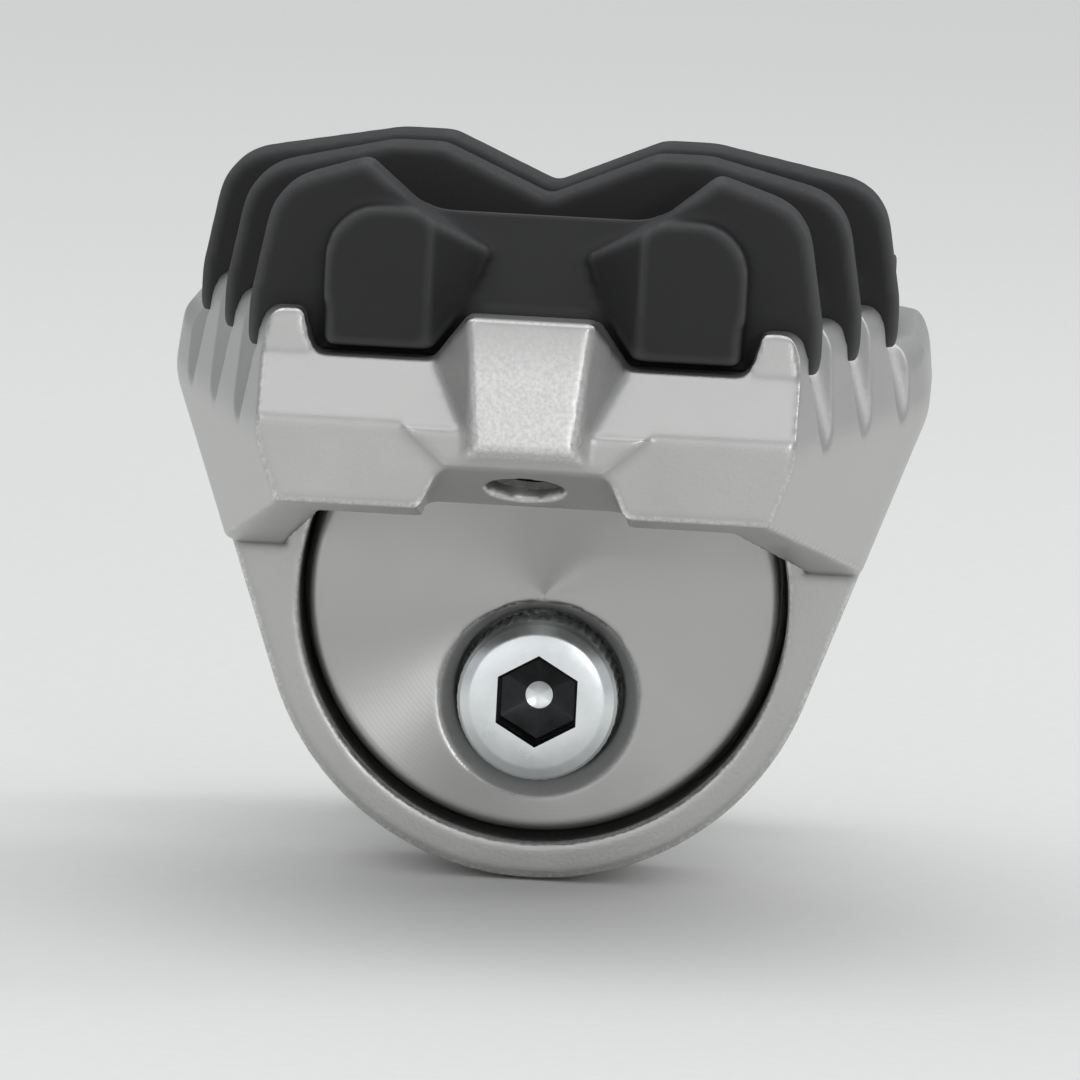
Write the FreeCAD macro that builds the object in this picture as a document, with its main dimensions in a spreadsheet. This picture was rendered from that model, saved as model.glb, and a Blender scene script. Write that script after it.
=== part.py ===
import FreeCAD, Part
import math
import os

import Sketcher
from FreeCAD import Placement, Rotation, Vector

# A folding motorcycle footpeg. The hinge pin lies along X through the origin, the peg
# reaches outboard along -Y and +Z is up. A cast platform with toothed flanks carries a
# rubber tread pad. Its ring is clamped by a disc and one screw to an adapter, whose eye
# turns on the hinge pin against a return spring.
# "Distance" below means outboard distance from the hinge axis, which is -Y.

# Driving dimensions in millimetres and degrees, by piece
SIZES = {
    "Hinge": {
        "pin_dia": 10.0,
        "pin_clear": 0.05,
        "eye_round": 10.5,
        "tongue_wide": 20.0,
        "ear_thick": 4.5,
        "ear_clear": 0.4,
        "pivot_head_dia": 15.0,
        "pivot_head_thick": 4.0,
        "pivot_head_edge": 0.8,
        "pivot_thread_dia": 8.0,
        "pivot_nut_room": 5.0,
        "pivot_hex_deep": 2.6,
    },
    "Spring": {
        "wire_dia": 2.0,
        "coil_round": 6.7,
        "coil_turns": 3.0,
        "coil_gap": 0.25,
        "spring_clear": 0.25,
        "spring_leg": 19.0,
        "spring_tail": 17.0,
    },
    "Adapter": {
        "neck_wide": 20.0,
        "neck_round": 6.5,
        "eye_relief": 1.0,
        "flange_thick": 6.0,
        "flange_proud": 2.0,
        "spigot_dia": 30.0,
        "spigot_flats": 20.0,
        "spigot_clear": 0.2,
        "spigot_short": 1.0,
    },
    "Clamp": {
        "seat_dia": 38.0,
        "seat_clear": 0.7,
        "height_offset": 8.0,
        "disc_thick": 6.0,
        "disc_dish": 1.0,
        "disc_edge": 0.5,
        "bolt_dia": 8.0,
        "bolt_clear": 0.25,
        "bolt_long": 22.0,
        "thread_spare": 2.5,
        "head_dia": 13.0,
        "head_high": 8.0,
        "head_edge": 0.9,
        "head_sunk": 3.6,
        "recess_clear": 0.4,
        "recess_flare": 0.5,
        "hex_key": 6.0,
        "hex_deep": 4.2,
    },
    "Ring": {
        "hinge_to_ring": 24.0,
        "ring_wall": 3.0,
        "ring_lip": 1.5,
        "web_thick": 4.0,
    },
    "Platform": {
        "reach": 95.0,
        "inner_end": 15.0,
        "front_wide": 41.2,
        "full_wide": 60.6,
        "wide_from": 46.0,
        "flank_round": 40.0,
        "inner_round": 10.0,
        "flank_lean": 1.1,
        "lean_high": 9.5,
        "ridge_round": 6.0,
        "crown_thick": 3.9,
        "deck_thick": 3.1,
        "rim_thick": 3.4,
        "room_front_wide": 31.4,
        "room_back_wide": 42.0,
        "bar_thick": 9.0,
        "spine_wide": 8.0,
        "spine_high": 5.0,
        "rail_drop": 9.2,
    },
    "Teeth": {
        "tooth_high": 3.4,
        "gap_first": 10.0,
        "gap_pitch": 14.0,
        "gap_wide": 7.0,
        "scallop_round": 5.5,
        "scallop_deep": 3.2,
        "scallop_high": 10.0,
        "window_wide": 9.6,
        "window_long": 8.5,
    },
    "Front": {
        "front_high": 14.5,
        "panel_high": 6.5,
        "band_run": 3.0,
        "tooth_run": 0.5,
        "notch_from": 7.5,
        "notch_to": 16.5,
        "notch_lean_in": 2.9,
        "notch_lean_out": 1.2,
        "notch_round": 1.2,
        "boss_wide": 7.2,
        "boss_proud": 2.0,
        "boss_slope": 38.0,
        "boss_low": 5.0,
        "boss_rise": 0.3,
        "boss_tilt": 5.0,
        "boss_root": 3.8,
        "chin_wide": 12.8,
        "chin_high": 3.2,
        "chin_slope": 22.0,
        "hole_dia": 5.0,
        "hole_deep": 7.0,
        "hole_back": 4.6,
    },
    "Pad": {
        "pad_clear": 0.3,
        "sheet_rise": 1.5,
        "sheet_inset": 2.4,
        "sheet_round": 8.0,
        "fin_clear": 0.4,
        "fin_proud": 0.4,
        "fin_lean": 1.6,
        "fin_round": 4.5,
        "hump_at": 10.3,
        "hump_wide": 4.0,
        "hump_rise": 11.6,
        "valley_rise": 8.0,
        "shoulder_rise": 9.0,
        "lobe_rise": 8.0,
        "lobe_to": 16.1,
        "lobe_face_from": 8.0,
        "lobe_cheek": 4.4,
        "lobe_clear": 0.6,
        "lobe_set": 0.8,
        "lobe_round": 4.0,
        "ramp_set": 6.9,
        "ramp_run": 5.1,
        "ramp_wide": 10.6,
        "ramp_waist": 7.2,
        "ramp_waist_rise": 4.2,
        "ramp_wide_top": 19.0,
        "ramp_flare": 3.5,
        "panel_rise": 4.0,
        "panel_inset": 2.5,
        "panel_gap": 5.0,
        "panel_round": 6.0,
        "rib_first": 2.6,
        "rib_pitch": 6.2,
        "rib_wide": 3.6,
        "rib_rise": 1.6,
        "rib_inset": 2.3,
        "stud_lip": 0.8,
        "stud_lip_high": 1.4,
    },
}

# Levels and distances that follow from the driving dimensions, each from the ones above it
LEVELS = {
    "bore_round": "dims.seat_dia / 2 + dims.seat_clear",
    "ring_round": "bore_round + dims.ring_wall",
    "ring_low": "dims.height_offset - ring_round",
    "deck_top": "dims.height_offset + bore_round + dims.crown_thick",
    "deck_low": "deck_top - dims.deck_thick",
    "tip_top": "deck_top + dims.tooth_high",
    "waist": "tip_top - dims.lean_high",
    "front_low": "tip_top - dims.front_high",
    "panel_top": "front_low + dims.panel_high",
    "rail_low": "front_low - dims.rail_drop",
    "flange_back": "dims.hinge_to_ring - dims.flange_proud",
    "web_back": "flange_back + dims.flange_thick",
    "web_front": "web_back + dims.web_thick",
    "disc_front": "web_front + dims.disc_thick",
    "ring_front": "disc_front + dims.ring_lip",
    "bar_back": "dims.reach - dims.bar_thick",
    "gap_at": "dims.reach - dims.gap_first",
    "recess_front": "gap_at + dims.gap_wide / 2",
    "rim_end": "gap_at - 2 * dims.gap_pitch + dims.gap_wide / 2",
    "front_half": "dims.front_wide / 2",
    "full_half": "dims.full_wide / 2",
    "flank_grow": "(full_half - front_half) / (dims.reach - dims.wide_from)",
    "waist_rise": "waist - dims.height_offset",
    "ridge_away": "sqrt(full_half ^ 2 + waist_rise ^ 2)",
    "skirt_lean": "acos(ring_round / ridge_away) - atan(waist_rise / full_half)",
    "boss_top": "tip_top + dims.boss_rise",
    "head_seat": "disc_front - dims.head_sunk",
    "bolt_end": "head_seat - dims.bolt_long",
    "pivot_step": "dims.tongue_wide / 2 + dims.ear_clear",
    "pivot_seat": "pivot_step + dims.ear_thick",
    "pivot_end": "pivot_seat + dims.pivot_nut_room",
    "coil_long": "dims.coil_turns * (dims.wire_dia + dims.coil_gap)",
    "coil_from": "dims.tongue_wide / 2 - dims.spring_clear - coil_long - dims.wire_dia",
    "eye_far": "coil_from - dims.spring_clear",
}

GAPS = 3  # gaps behind the three teeth of each flank, with one rubber fin in each
RIBS = 4  # low ribs across the heel of the pad
WIRE_SIDES = 8  # flats round the spring wire, enough to look round at its size
COIL_STEPS = 24  # straight steps in one turn of the spring, for the same reason
AWAY = 10.0  # how far a cutting outline reaches past the solid that it trims

doc = FreeCAD.newDocument("footpeg")


# Sheets

def fill_sheets():
    """Puts the driving dimensions on one sheet as plain numbers, and the levels on another."""
    dims = doc.addObject("Spreadsheet::Sheet", "dims")
    row = 1
    for piece, sizes in SIZES.items():
        dims.set(f"A{row}", piece)
        row += 1
        for alias, value in sizes.items():
            dims.set(f"A{row}", alias)
            dims.set(f"B{row}", str(value))
            dims.setAlias(f"B{row}", alias)
            row += 1
    levels = doc.addObject("Spreadsheet::Sheet", "levels")
    for row, (alias, rule) in enumerate(LEVELS.items(), start=1):
        levels.set(f"A{row}", alias)
        levels.set(f"B{row}", "=" + rule)
        levels.setAlias(f"B{row}", alias)
    doc.recompute()
    return dims, levels


dims, levels = fill_sheets()


def number(expression):
    """The value in millimetres that an expression on the sheets has now."""
    value = dims.evalExpression(expression)
    return float(getattr(value, "Value", value))


# Helpers for bodies, sketches and features

def new_body(label):
    body = doc.addObject("PartDesign::Body", label)
    body.Label = label
    return body


def new_sketch(body, name, plane, offset="0", lift="0"):
    """A sketch on an origin plane, moved by offset along its normal and by lift along its own Y."""
    sketch = body.newObject("Sketcher::SketchObject", name)
    support = next(f for f in body.Origin.OriginFeatures if f.Role == plane + "_Plane")
    sketch.AttachmentSupport = (support, [""])
    sketch.MapMode = "FlatFace"
    sketch.setExpression("AttachmentOffset.Base.z", offset)
    sketch.setExpression("AttachmentOffset.Base.y", lift)
    return sketch


def pin_point(sketch, geometry, end, point):
    """Holds one end of a line or arc at a pair of expressions, measured from the sketch's origin."""
    for kind, expression in zip(("DistanceX", "DistanceY"), point):
        index = sketch.addConstraint(
            Sketcher.Constraint(kind, -1, 1, geometry, end, number(expression))
        )
        sketch.setExpression(f"Constraints[{index}]", expression)


def draw_outline(sketch, corners):
    """A closed outline of straight lines whose corners are pairs of expressions."""
    points = [Vector(number(x), number(y), 0) for x, y in corners]
    count = len(points)
    lines = [
        sketch.addGeometry(Part.LineSegment(points[i], points[(i + 1) % count]), False)
        for i in range(count)
    ]
    for i, line in enumerate(lines):
        sketch.addConstraint(Sketcher.Constraint("Coincident", line, 2, lines[(i + 1) % count], 1))
        pin_point(sketch, line, 1, corners[i])


def draw_circle(sketch, radius, centre=("0", "0")):
    middle = Vector(number(centre[0]), number(centre[1]), 0)
    circle = sketch.addGeometry(Part.Circle(middle, Vector(0, 0, 1), number(radius)), False)
    pin_point(sketch, circle, 3, centre)
    index = sketch.addConstraint(Sketcher.Constraint("Radius", circle, number(radius)))
    sketch.setExpression(f"Constraints[{index}]", radius)


def mirrored(corners):
    """The same corners on the other side of the sketch's Y axis."""
    return [(f"-({x})", y) for x, y in corners]


def both_sides(corners):
    """A half outline from front to back and its mirror image, as one closed outline."""
    return corners + mirrored(corners)[::-1]


def extrude(body, kind, sketch, length, reverse=False, midplane=False, through=False):
    feature = body.newObject("PartDesign::" + kind, sketch.Name + "_" + kind.lower())
    feature.Profile = sketch
    feature.Reversed = reverse
    feature.Midplane = midplane
    if through:
        feature.Type = "ThroughAll"
    else:
        feature.setExpression("Length", length)
    doc.recompute()
    return feature


def edges_where(feature, wanted):
    return [f"Edge{n}" for n, edge in enumerate(feature.Shape.Edges, start=1) if wanted(edge)]


def round_edges(body, feature, name, radius, wanted):
    fillet = body.newObject("PartDesign::Fillet", name)
    fillet.Base = (feature, edges_where(feature, wanted))
    fillet.setExpression("Radius", radius)
    doc.recompute()
    return fillet


def near(value, expression, slack=0.01):
    return abs(value - number(expression)) < slack


def flank_at(distance):
    """Half the platform's width at a distance on its tapered outer stretch."""
    return f"(levels.front_half + levels.flank_grow * (dims.reach - ({distance})))"


def gap_distance(n):
    return f"(levels.gap_at - {n} * dims.gap_pitch)"


def join(sketch, kind, pairs):
    """Ties the end of each first line or arc to the start of the second."""
    for first, second in pairs:
        sketch.addConstraint(Sketcher.Constraint(kind, first, 2, second, 1))


def draw_plan(sketch, outer, inner):
    """The platform's plan between two distances: tapering flanks that round into parallel ones."""
    half, radius = number("levels.full_half"), number("dims.flank_round")
    turn = math.atan(number("levels.flank_grow"))
    corner_at = -number("dims.wide_from")
    back = radius * math.tan(turn / 2)
    front_x, front_y, end_y = number(flank_at(outer)), -number(outer), -number(inner)
    lines = []
    arcs = []
    for side in (1, -1):
        corner = Vector(side * half, corner_at, 0)
        before = corner - Vector(side * math.sin(turn), math.cos(turn), 0) * back
        after = corner + Vector(0, back, 0)
        middle = after - Vector(side * radius, 0, 0)
        front = Vector(side * front_x, front_y, 0)
        end = Vector(side * half, end_y, 0)
        circle = Part.Circle(middle, Vector(0, 0, 1), radius)
        if side > 0:
            taper = sketch.addGeometry(Part.LineSegment(front, before), False)
            arc = sketch.addGeometry(Part.ArcOfCircle(circle, -turn, 0), False)
            straight = sketch.addGeometry(Part.LineSegment(after, end), False)
            join(sketch, "Tangent", [(taper, arc), (arc, straight)])
        else:
            straight = sketch.addGeometry(Part.LineSegment(end, after), False)
            arc = sketch.addGeometry(Part.ArcOfCircle(circle, math.pi, math.pi + turn), False)
            taper = sketch.addGeometry(Part.LineSegment(before, front), False)
            join(sketch, "Tangent", [(straight, arc), (arc, taper)])
        at_corner = sketch.addGeometry(Part.Point(corner), True)
        pin_point(sketch, at_corner, 1, (f"{side} * levels.full_half", "-dims.wide_from"))
        sketch.addConstraint(Sketcher.Constraint("PointOnObject", at_corner, 1, taper))
        sketch.addConstraint(Sketcher.Constraint("Vertical", straight))
        lines.append((taper, straight))
        arcs.append(arc)
    (taper, straight), (other_taper, other_straight) = lines
    front_left, front_right = Vector(-front_x, front_y, 0), Vector(front_x, front_y, 0)
    back_left, back_right = Vector(-half, end_y, 0), Vector(half, end_y, 0)
    front_line = sketch.addGeometry(Part.LineSegment(front_left, front_right), False)
    back_line = sketch.addGeometry(Part.LineSegment(back_right, back_left), False)
    join(sketch, "Coincident", [
        (front_line, taper),
        (straight, back_line),
        (back_line, other_straight),
        (other_taper, front_line),
    ])
    pin_point(sketch, front_line, 2, (flank_at(outer), f"-({outer})"))
    pin_point(sketch, front_line, 1, (f"-{flank_at(outer)}", f"-({outer})"))
    pin_point(sketch, back_line, 1, ("levels.full_half", f"-({inner})"))
    pin_point(sketch, back_line, 2, ("-levels.full_half", f"-({inner})"))
    for arc in arcs:
        index = sketch.addConstraint(Sketcher.Constraint("Radius", arc, radius))
        sketch.setExpression(f"Constraints[{index}]", "dims.flank_round")


# Platform casting

def cast_envelope(body):
    """The plan at the widest level, leaning in above it to the teeth and below it to the ring."""
    crest_plan = new_sketch(body, "crest_plan", "XY", offset="levels.waist")
    draw_plan(crest_plan, f"dims.reach + {AWAY}", "dims.inner_end")
    crest = extrude(body, "Pad", crest_plan, "dims.lean_high")
    crest.setExpression("TaperAngle", "-atan(dims.flank_lean / dims.lean_high)")
    skirt_plan = new_sketch(body, "skirt_plan", "XY", offset="levels.waist")
    draw_plan(skirt_plan, f"dims.reach + {AWAY}", f"dims.hinge_to_ring - 2 * {AWAY}")
    skirt = extrude(body, "Pad", skirt_plan, "levels.waist - levels.ring_low", reverse=True)
    skirt.setExpression("TaperAngle", "-levels.skirt_lean")
    doc.recompute()
    return skirt


def round_envelope(body, block):
    """Rounds the ridge along the widest level, and the corners of the inner end."""
    half = number("levels.full_half")

    def on_ridge(edge):
        box = edge.BoundBox
        level = near(box.ZMin, "levels.waist") and near(box.ZMax, "levels.waist")
        return level and box.YLength > 1 and abs(box.Center.x) > number("levels.front_half") - 1

    def on_inner_corner(edge):
        box = edge.BoundBox
        upright = box.ZLength > 2 and box.XLength < 2 and box.YLength < 2
        return upright and abs(box.Center.x) > half - 3 and -box.Center.y < number("dims.inner_end") + 3

    ridge = round_edges(body, block, "ridge_rounds", "dims.ridge_round", on_ridge)
    return round_edges(body, ridge, "inner_rounds", "dims.inner_round", on_inner_corner)


def trim_side_view(body):
    """Cuts the sloping underside and the front face with its sloping band, seen from the side."""
    side = new_sketch(body, "side_view", "YZ")
    below = f"levels.ring_low - {AWAY}"
    above = f"levels.tip_top + {AWAY}"
    out = f"-dims.reach - {AWAY}"
    draw_outline(side, [
        (out, below),
        ("-levels.ring_front", below),
        ("-levels.ring_front", "levels.rail_low"),
        ("-dims.reach", "levels.front_low"),
        ("-dims.reach", "levels.panel_top"),
        ("-dims.reach + dims.band_run", "levels.deck_top"),
        ("-dims.reach + dims.band_run + dims.tooth_run", "levels.tip_top"),
        ("-dims.reach + dims.band_run + dims.tooth_run", above),
        (out, above),
    ])
    draw_outline(side, [
        ("-dims.hinge_to_ring", below),
        ("-dims.hinge_to_ring", "levels.deck_low"),
        (f"{AWAY}", "levels.deck_low"),
        (f"{AWAY}", below),
    ])
    return extrude(body, "Pocket", side, "0", midplane=True, through=True)


def trim_ring(body):
    """Rounds the bottom of the ring, from where the leaning flanks touch its circle."""
    sketch = new_sketch(body, "ring_bottom", "XZ")
    wide = f"levels.full_half + {AWAY}"
    below = f"levels.ring_low - {AWAY}"
    touch_x = "levels.ring_round * cos(levels.skirt_lean)"
    touch_z = "dims.height_offset - levels.ring_round * sin(levels.skirt_lean)"
    corners = both_sides([(touch_x, touch_z), (wide, touch_z), (wide, below)])
    points = [Vector(number(x), number(z), 0) for x, z in corners]
    lines = [sketch.addGeometry(Part.LineSegment(a, b), False) for a, b in zip(points, points[1:])]
    lean = math.radians(number("levels.skirt_lean"))
    middle = Vector(0, number("dims.height_offset"), 0)
    circle = Part.Circle(middle, Vector(0, 0, 1), number("levels.ring_round"))
    arc = sketch.addGeometry(Part.ArcOfCircle(circle, math.pi + lean, 2 * math.pi - lean), False)
    join(sketch, "Coincident", list(zip(lines, lines[1:])) + [(lines[-1], arc), (arc, lines[0])])
    for line, corner in zip(lines, corners):
        pin_point(sketch, line, 1, corner)
    pin_point(sketch, lines[-1], 2, corners[-1])
    index = sketch.addConstraint(Sketcher.Constraint("Radius", arc, number("levels.ring_round")))
    sketch.setExpression(f"Constraints[{index}]", "levels.ring_round")
    return extrude(body, "Pocket", sketch, "0", midplane=True, through=True)


def hollow_underside(body):
    """Opens the space between the rails for the clamp screw, with a shallow spine under the deck."""
    half = [
        ("dims.room_front_wide / 2", "-levels.bar_back"),
        ("dims.room_back_wide / 2", "-levels.ring_front"),
    ]
    cavity = new_sketch(body, "cavity", "XY", offset=f"levels.ring_low - {AWAY}")
    draw_outline(cavity, both_sides(half))
    depth = f"levels.deck_low - dims.spine_high - levels.ring_low + {AWAY}"
    extrude(body, "Pocket", cavity, depth, reverse=True)
    bays = new_sketch(body, "bays", "XY", offset=f"levels.ring_low - {AWAY}")
    bay = half + [
        ("dims.spine_wide / 2", "-levels.ring_front"),
        ("dims.spine_wide / 2", "-levels.bar_back"),
    ]
    draw_outline(bays, bay)
    draw_outline(bays, mirrored(bay))
    return extrude(body, "Pocket", bays, f"levels.deck_low - levels.ring_low + {AWAY}", reverse=True)


def draw_flatted_round(sketch, radius, half_flats):
    """A round with two upright flats, centred on the sketch's origin."""
    r, x = number(radius), number(half_flats)
    z = math.sqrt(r * r - x * x)
    circle = Part.Circle(Vector(0, 0, 0), Vector(0, 0, 1), r)
    bearing = math.atan2(z, x)
    right = sketch.addGeometry(Part.LineSegment(Vector(x, -z, 0), Vector(x, z, 0)), False)
    top = sketch.addGeometry(Part.ArcOfCircle(circle, bearing, math.pi - bearing), False)
    left = sketch.addGeometry(Part.LineSegment(Vector(-x, z, 0), Vector(-x, -z, 0)), False)
    bottom = sketch.addGeometry(
        Part.ArcOfCircle(circle, math.pi + bearing, 2 * math.pi - bearing), False
    )
    join(sketch, "Coincident", [(right, top), (top, left), (left, bottom), (bottom, right)])
    for arc in (top, bottom):
        sketch.addConstraint(Sketcher.Constraint("Coincident", arc, 3, -1, 1))
    index = sketch.addConstraint(Sketcher.Constraint("Radius", top, r))
    sketch.setExpression(f"Constraints[{index}]", radius)
    for line, side in ((right, 1), (left, -1)):
        sketch.addConstraint(Sketcher.Constraint("Vertical", line))
        index = sketch.addConstraint(Sketcher.Constraint("DistanceX", -1, 1, line, 1, side * x))
        sketch.setExpression(f"Constraints[{index}]", f"{side} * ({half_flats})")


def bore_ring(body):
    """The ring's two seats, with a web between them that has a flatted hole."""
    axis = "dims.height_offset"
    seat = new_sketch(body, "disc_seat", "XZ", offset="levels.ring_front", lift=axis)
    draw_circle(seat, "levels.bore_round")
    extrude(body, "Pocket", seat, "levels.ring_front - levels.web_front")
    back = new_sketch(body, "flange_seat", "XZ", offset="dims.hinge_to_ring", lift=axis)
    draw_circle(back, "levels.bore_round")
    extrude(body, "Pocket", back, "levels.web_back - dims.hinge_to_ring", reverse=True)
    hole = new_sketch(body, "web_hole", "XZ", offset="levels.web_front", lift=axis)
    draw_flatted_round(
        hole,
        "dims.spigot_dia / 2 + dims.spigot_clear",
        "dims.spigot_flats / 2 + dims.spigot_clear",
    )
    return extrude(body, "Pocket", hole, "dims.web_thick")


def add_front_boss(body):
    """The boss at the middle of the outer end: its sides and underside slope back from a flat face."""
    root = "dims.boss_root + dims.boss_proud"
    grow = f"({root}) * tan(dims.boss_slope * 1 deg)"
    boss = new_sketch(body, "boss", "XZ", offset="dims.reach - dims.boss_root")
    draw_outline(boss, both_sides([
        (f"dims.boss_wide / 2 + {grow}", f"levels.front_low + dims.boss_low - {grow}"),
        (f"dims.boss_wide / 2 + {grow}", f"levels.boss_top + {grow} + 1"),
    ]))
    block = extrude(body, "Pad", boss, root)
    block.setExpression("TaperAngle", "-dims.boss_slope * 1 deg")
    tilt = new_sketch(body, "boss_face", "YZ")
    face = "-dims.reach - dims.boss_proud"
    low = "levels.front_low + dims.boss_low"
    lean = f"(levels.boss_top + {AWAY} - {low}) * tan(dims.boss_tilt * 1 deg)"
    draw_outline(tilt, [
        (face, low),
        (f"{face} + {lean}", f"levels.boss_top + {AWAY}"),
        (f"{face} - 1", f"levels.boss_top + {AWAY}"),
        (f"{face} - 1", low),
    ])
    extrude(body, "Pocket", tilt, "4 * dims.boss_wide", midplane=True)
    top = new_sketch(body, "boss_top", "XY", offset="levels.boss_top")
    wide = f"levels.front_half + {AWAY}"
    draw_outline(top, both_sides([
        (wide, f"-dims.reach - {AWAY}"),
        (wide, "-levels.rim_end"),
    ]))
    return extrude(body, "Pocket", top, "levels.full_half", reverse=True)


def cut_front(body):
    """Two notches for the pad's lobes, and the sloping chin under the boss with its threaded hole."""
    notches = new_sketch(body, "front_notches", "XZ", offset=f"dims.reach + {AWAY}")
    rise = "levels.boss_top + dims.boss_rise"
    notch = [
        ("dims.notch_from", "levels.deck_top"),
        ("dims.notch_to", "levels.deck_top"),
        ("dims.notch_to + dims.notch_lean_out", rise),
        ("dims.notch_from - dims.notch_lean_in", rise),
    ]
    draw_outline(notches, notch)
    draw_outline(notches, mirrored(notch))
    cut = extrude(body, "Pocket", notches, f"dims.reach + {AWAY} - levels.recess_front")

    def on_outer_floor(edge):
        box = edge.BoundBox
        along = box.YLength > 1 and box.XLength < 0.01 and box.ZLength < 0.01
        return along and near(abs(box.Center.x), "dims.notch_to") and near(box.ZMin, "levels.deck_top")

    round_edges(body, cut, "notch_rounds", "dims.notch_round", on_outer_floor)

    chin = new_sketch(body, "chin", "YZ")
    run = f"dims.bar_thick + {AWAY}"
    lip = "levels.front_low + dims.chin_high"
    slope = "dims.chin_slope * 1 deg"
    fall = f"({run}) * tan({slope})"
    draw_outline(chin, [
        (f"-dims.reach - {AWAY}", f"{lip} + {AWAY} * tan({slope})"),
        (f"-dims.reach + {run}", f"{lip} - {fall}"),
        (f"-dims.reach - {AWAY}", f"{lip} - {fall}"),
    ])
    extrude(body, "Pocket", chin, "dims.chin_wide", midplane=True)

    hole = body.newObject("PartDesign::SubtractiveCylinder", "feeler_hole")
    hole.setExpression("Radius", "dims.hole_dia / 2")
    hole.setExpression("Height", f"dims.hole_deep + {AWAY}")
    hole.Placement = Placement(Vector(), Rotation(Vector(-1, 0, 0), 1))
    hole.setExpression("Placement.Rotation.Angle", slope)
    mouth_y = "-dims.reach + dims.hole_back"
    mouth_z = f"{lip} - dims.hole_back * tan({slope})"
    hole.setExpression("Placement.Base.y", f"{mouth_y} - {AWAY} * sin({slope})")
    hole.setExpression("Placement.Base.z", f"{mouth_z} - {AWAY} * cos({slope})")
    doc.recompute()
    return hole


def cut_deck(body):
    """The recess that the pad lies in, windows for its studs, and the gaps between the teeth."""
    recess = new_sketch(body, "pad_recess", "XY", offset=f"levels.tip_top + {AWAY}")
    draw_outline(recess, both_sides([
        (f"{flank_at('levels.recess_front')} - dims.rim_thick", "-levels.recess_front"),
        (f"{flank_at('levels.rim_end')} - dims.rim_thick", "-levels.rim_end"),
        (f"levels.full_half + {AWAY}", "-levels.rim_end"),
        (f"levels.full_half + {AWAY}", f"-dims.inner_end + {AWAY}"),
    ]))
    extrude(body, "Pocket", recess, f"dims.tooth_high + {AWAY}")

    windows = new_sketch(body, "windows", "XY", offset="levels.deck_top")
    for n in range(GAPS):
        for side in window_outlines(n, "0"):
            draw_outline(windows, side)
    extrude(body, "Pocket", windows, "dims.deck_thick")

    gaps = new_sketch(body, "tooth_gaps", "YZ")
    for n in range(GAPS - 1):
        near_side = f"-{gap_distance(n)} - dims.gap_wide / 2"
        far_side = f"-{gap_distance(n)} + dims.gap_wide / 2"
        rise = "levels.tip_top + 1"
        draw_outline(gaps, [
            (near_side, "levels.deck_top"),
            (far_side, "levels.deck_top"),
            (far_side, rise),
            (near_side, rise),
        ])
    return extrude(body, "Pocket", gaps, "0", midplane=True, through=True)


def window_outlines(n, grow):
    """The pair of deck windows behind gap n, each grown by an expression on every side."""
    middle = f"{gap_distance(n)} - dims.gap_pitch / 2"
    outer = f"-({middle}) - dims.window_long / 2 - ({grow})"
    inner = f"-({middle}) + dims.window_long / 2 + ({grow})"
    near_spine = f"dims.spine_wide / 2 + 1 - ({grow})"
    near_rail = f"dims.spine_wide / 2 + 1 + dims.window_wide + ({grow})"
    window = [(near_spine, outer), (near_rail, outer), (near_rail, inner), (near_spine, inner)]
    return window, mirrored(window)


def scallop_flanks(body):
    """Leaning round cuts down each flank at the gaps, which run out below the teeth."""
    lean = "atan(dims.scallop_deep / dims.scallop_high)"
    for n in range(GAPS):
        for side, name in ((1, f"scallop_{n}_front"), (-1, f"scallop_{n}_rear")):
            cut = body.newObject("PartDesign::SubtractiveCylinder", name)
            cut.setExpression("Radius", "dims.scallop_round")
            cut.setExpression("Height", "4 * dims.scallop_high")
            out = f"dims.scallop_deep + dims.scallop_round / cos({lean})"
            at_foot = f"{flank_at(gap_distance(n))} + {out}"
            cut.Placement = Placement(Vector(), Rotation(Vector(0, -side, 0), 1))
            cut.setExpression("Placement.Rotation.Angle", lean)
            cut.setExpression("Placement.Base.x", f"{side} * ({at_foot})")
            cut.setExpression("Placement.Base.y", f"-{gap_distance(n)}")
            cut.setExpression("Placement.Base.z", "levels.tip_top - 2 * dims.scallop_high")
            doc.recompute()
    return cut


def make_peg_frame():
    body = new_body("peg_frame")
    cast_envelope(body)
    round_envelope(body, trim_side_view(body))
    trim_ring(body)
    hollow_underside(body)
    bore_ring(body)
    add_front_boss(body)
    cut_deck(body)
    cut_front(body)
    scallop_flanks(body)
    return body


# Rubber tread pad

def fin_side(n):
    return f"({flank_at(gap_distance(n))} - dims.flank_lean + dims.fin_proud)"


def fin_outline(n):
    """The section of one fin: two flat humps with a valley, and ends that drop into the gaps."""
    half = [
        (fin_side(n), "levels.deck_top"),
        (fin_side(n), "levels.tip_top"),
        (f"{fin_side(n)} - dims.fin_lean", "levels.tip_top + dims.shoulder_rise"),
        ("dims.hump_at + dims.hump_wide / 2", "levels.tip_top + dims.hump_rise"),
        ("dims.hump_at - dims.hump_wide / 2", "levels.tip_top + dims.hump_rise"),
    ]
    return half + [("0", "levels.tip_top + dims.valley_rise")] + mirrored(half)[::-1]


def round_shoulders(body, fin, n):
    """Rounds the two outer shoulders of one fin."""

    def on_shoulder(edge):
        box = edge.BoundBox
        level = near(box.ZMin, "levels.tip_top + dims.shoulder_rise") and box.ZLength < 0.01
        return level and box.YLength > 1 and near(abs(box.Center.x), f"{fin_side(n)} - dims.fin_lean")

    return round_edges(body, fin, f"shoulder_rounds_{n}", "dims.fin_round", on_shoulder)


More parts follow.
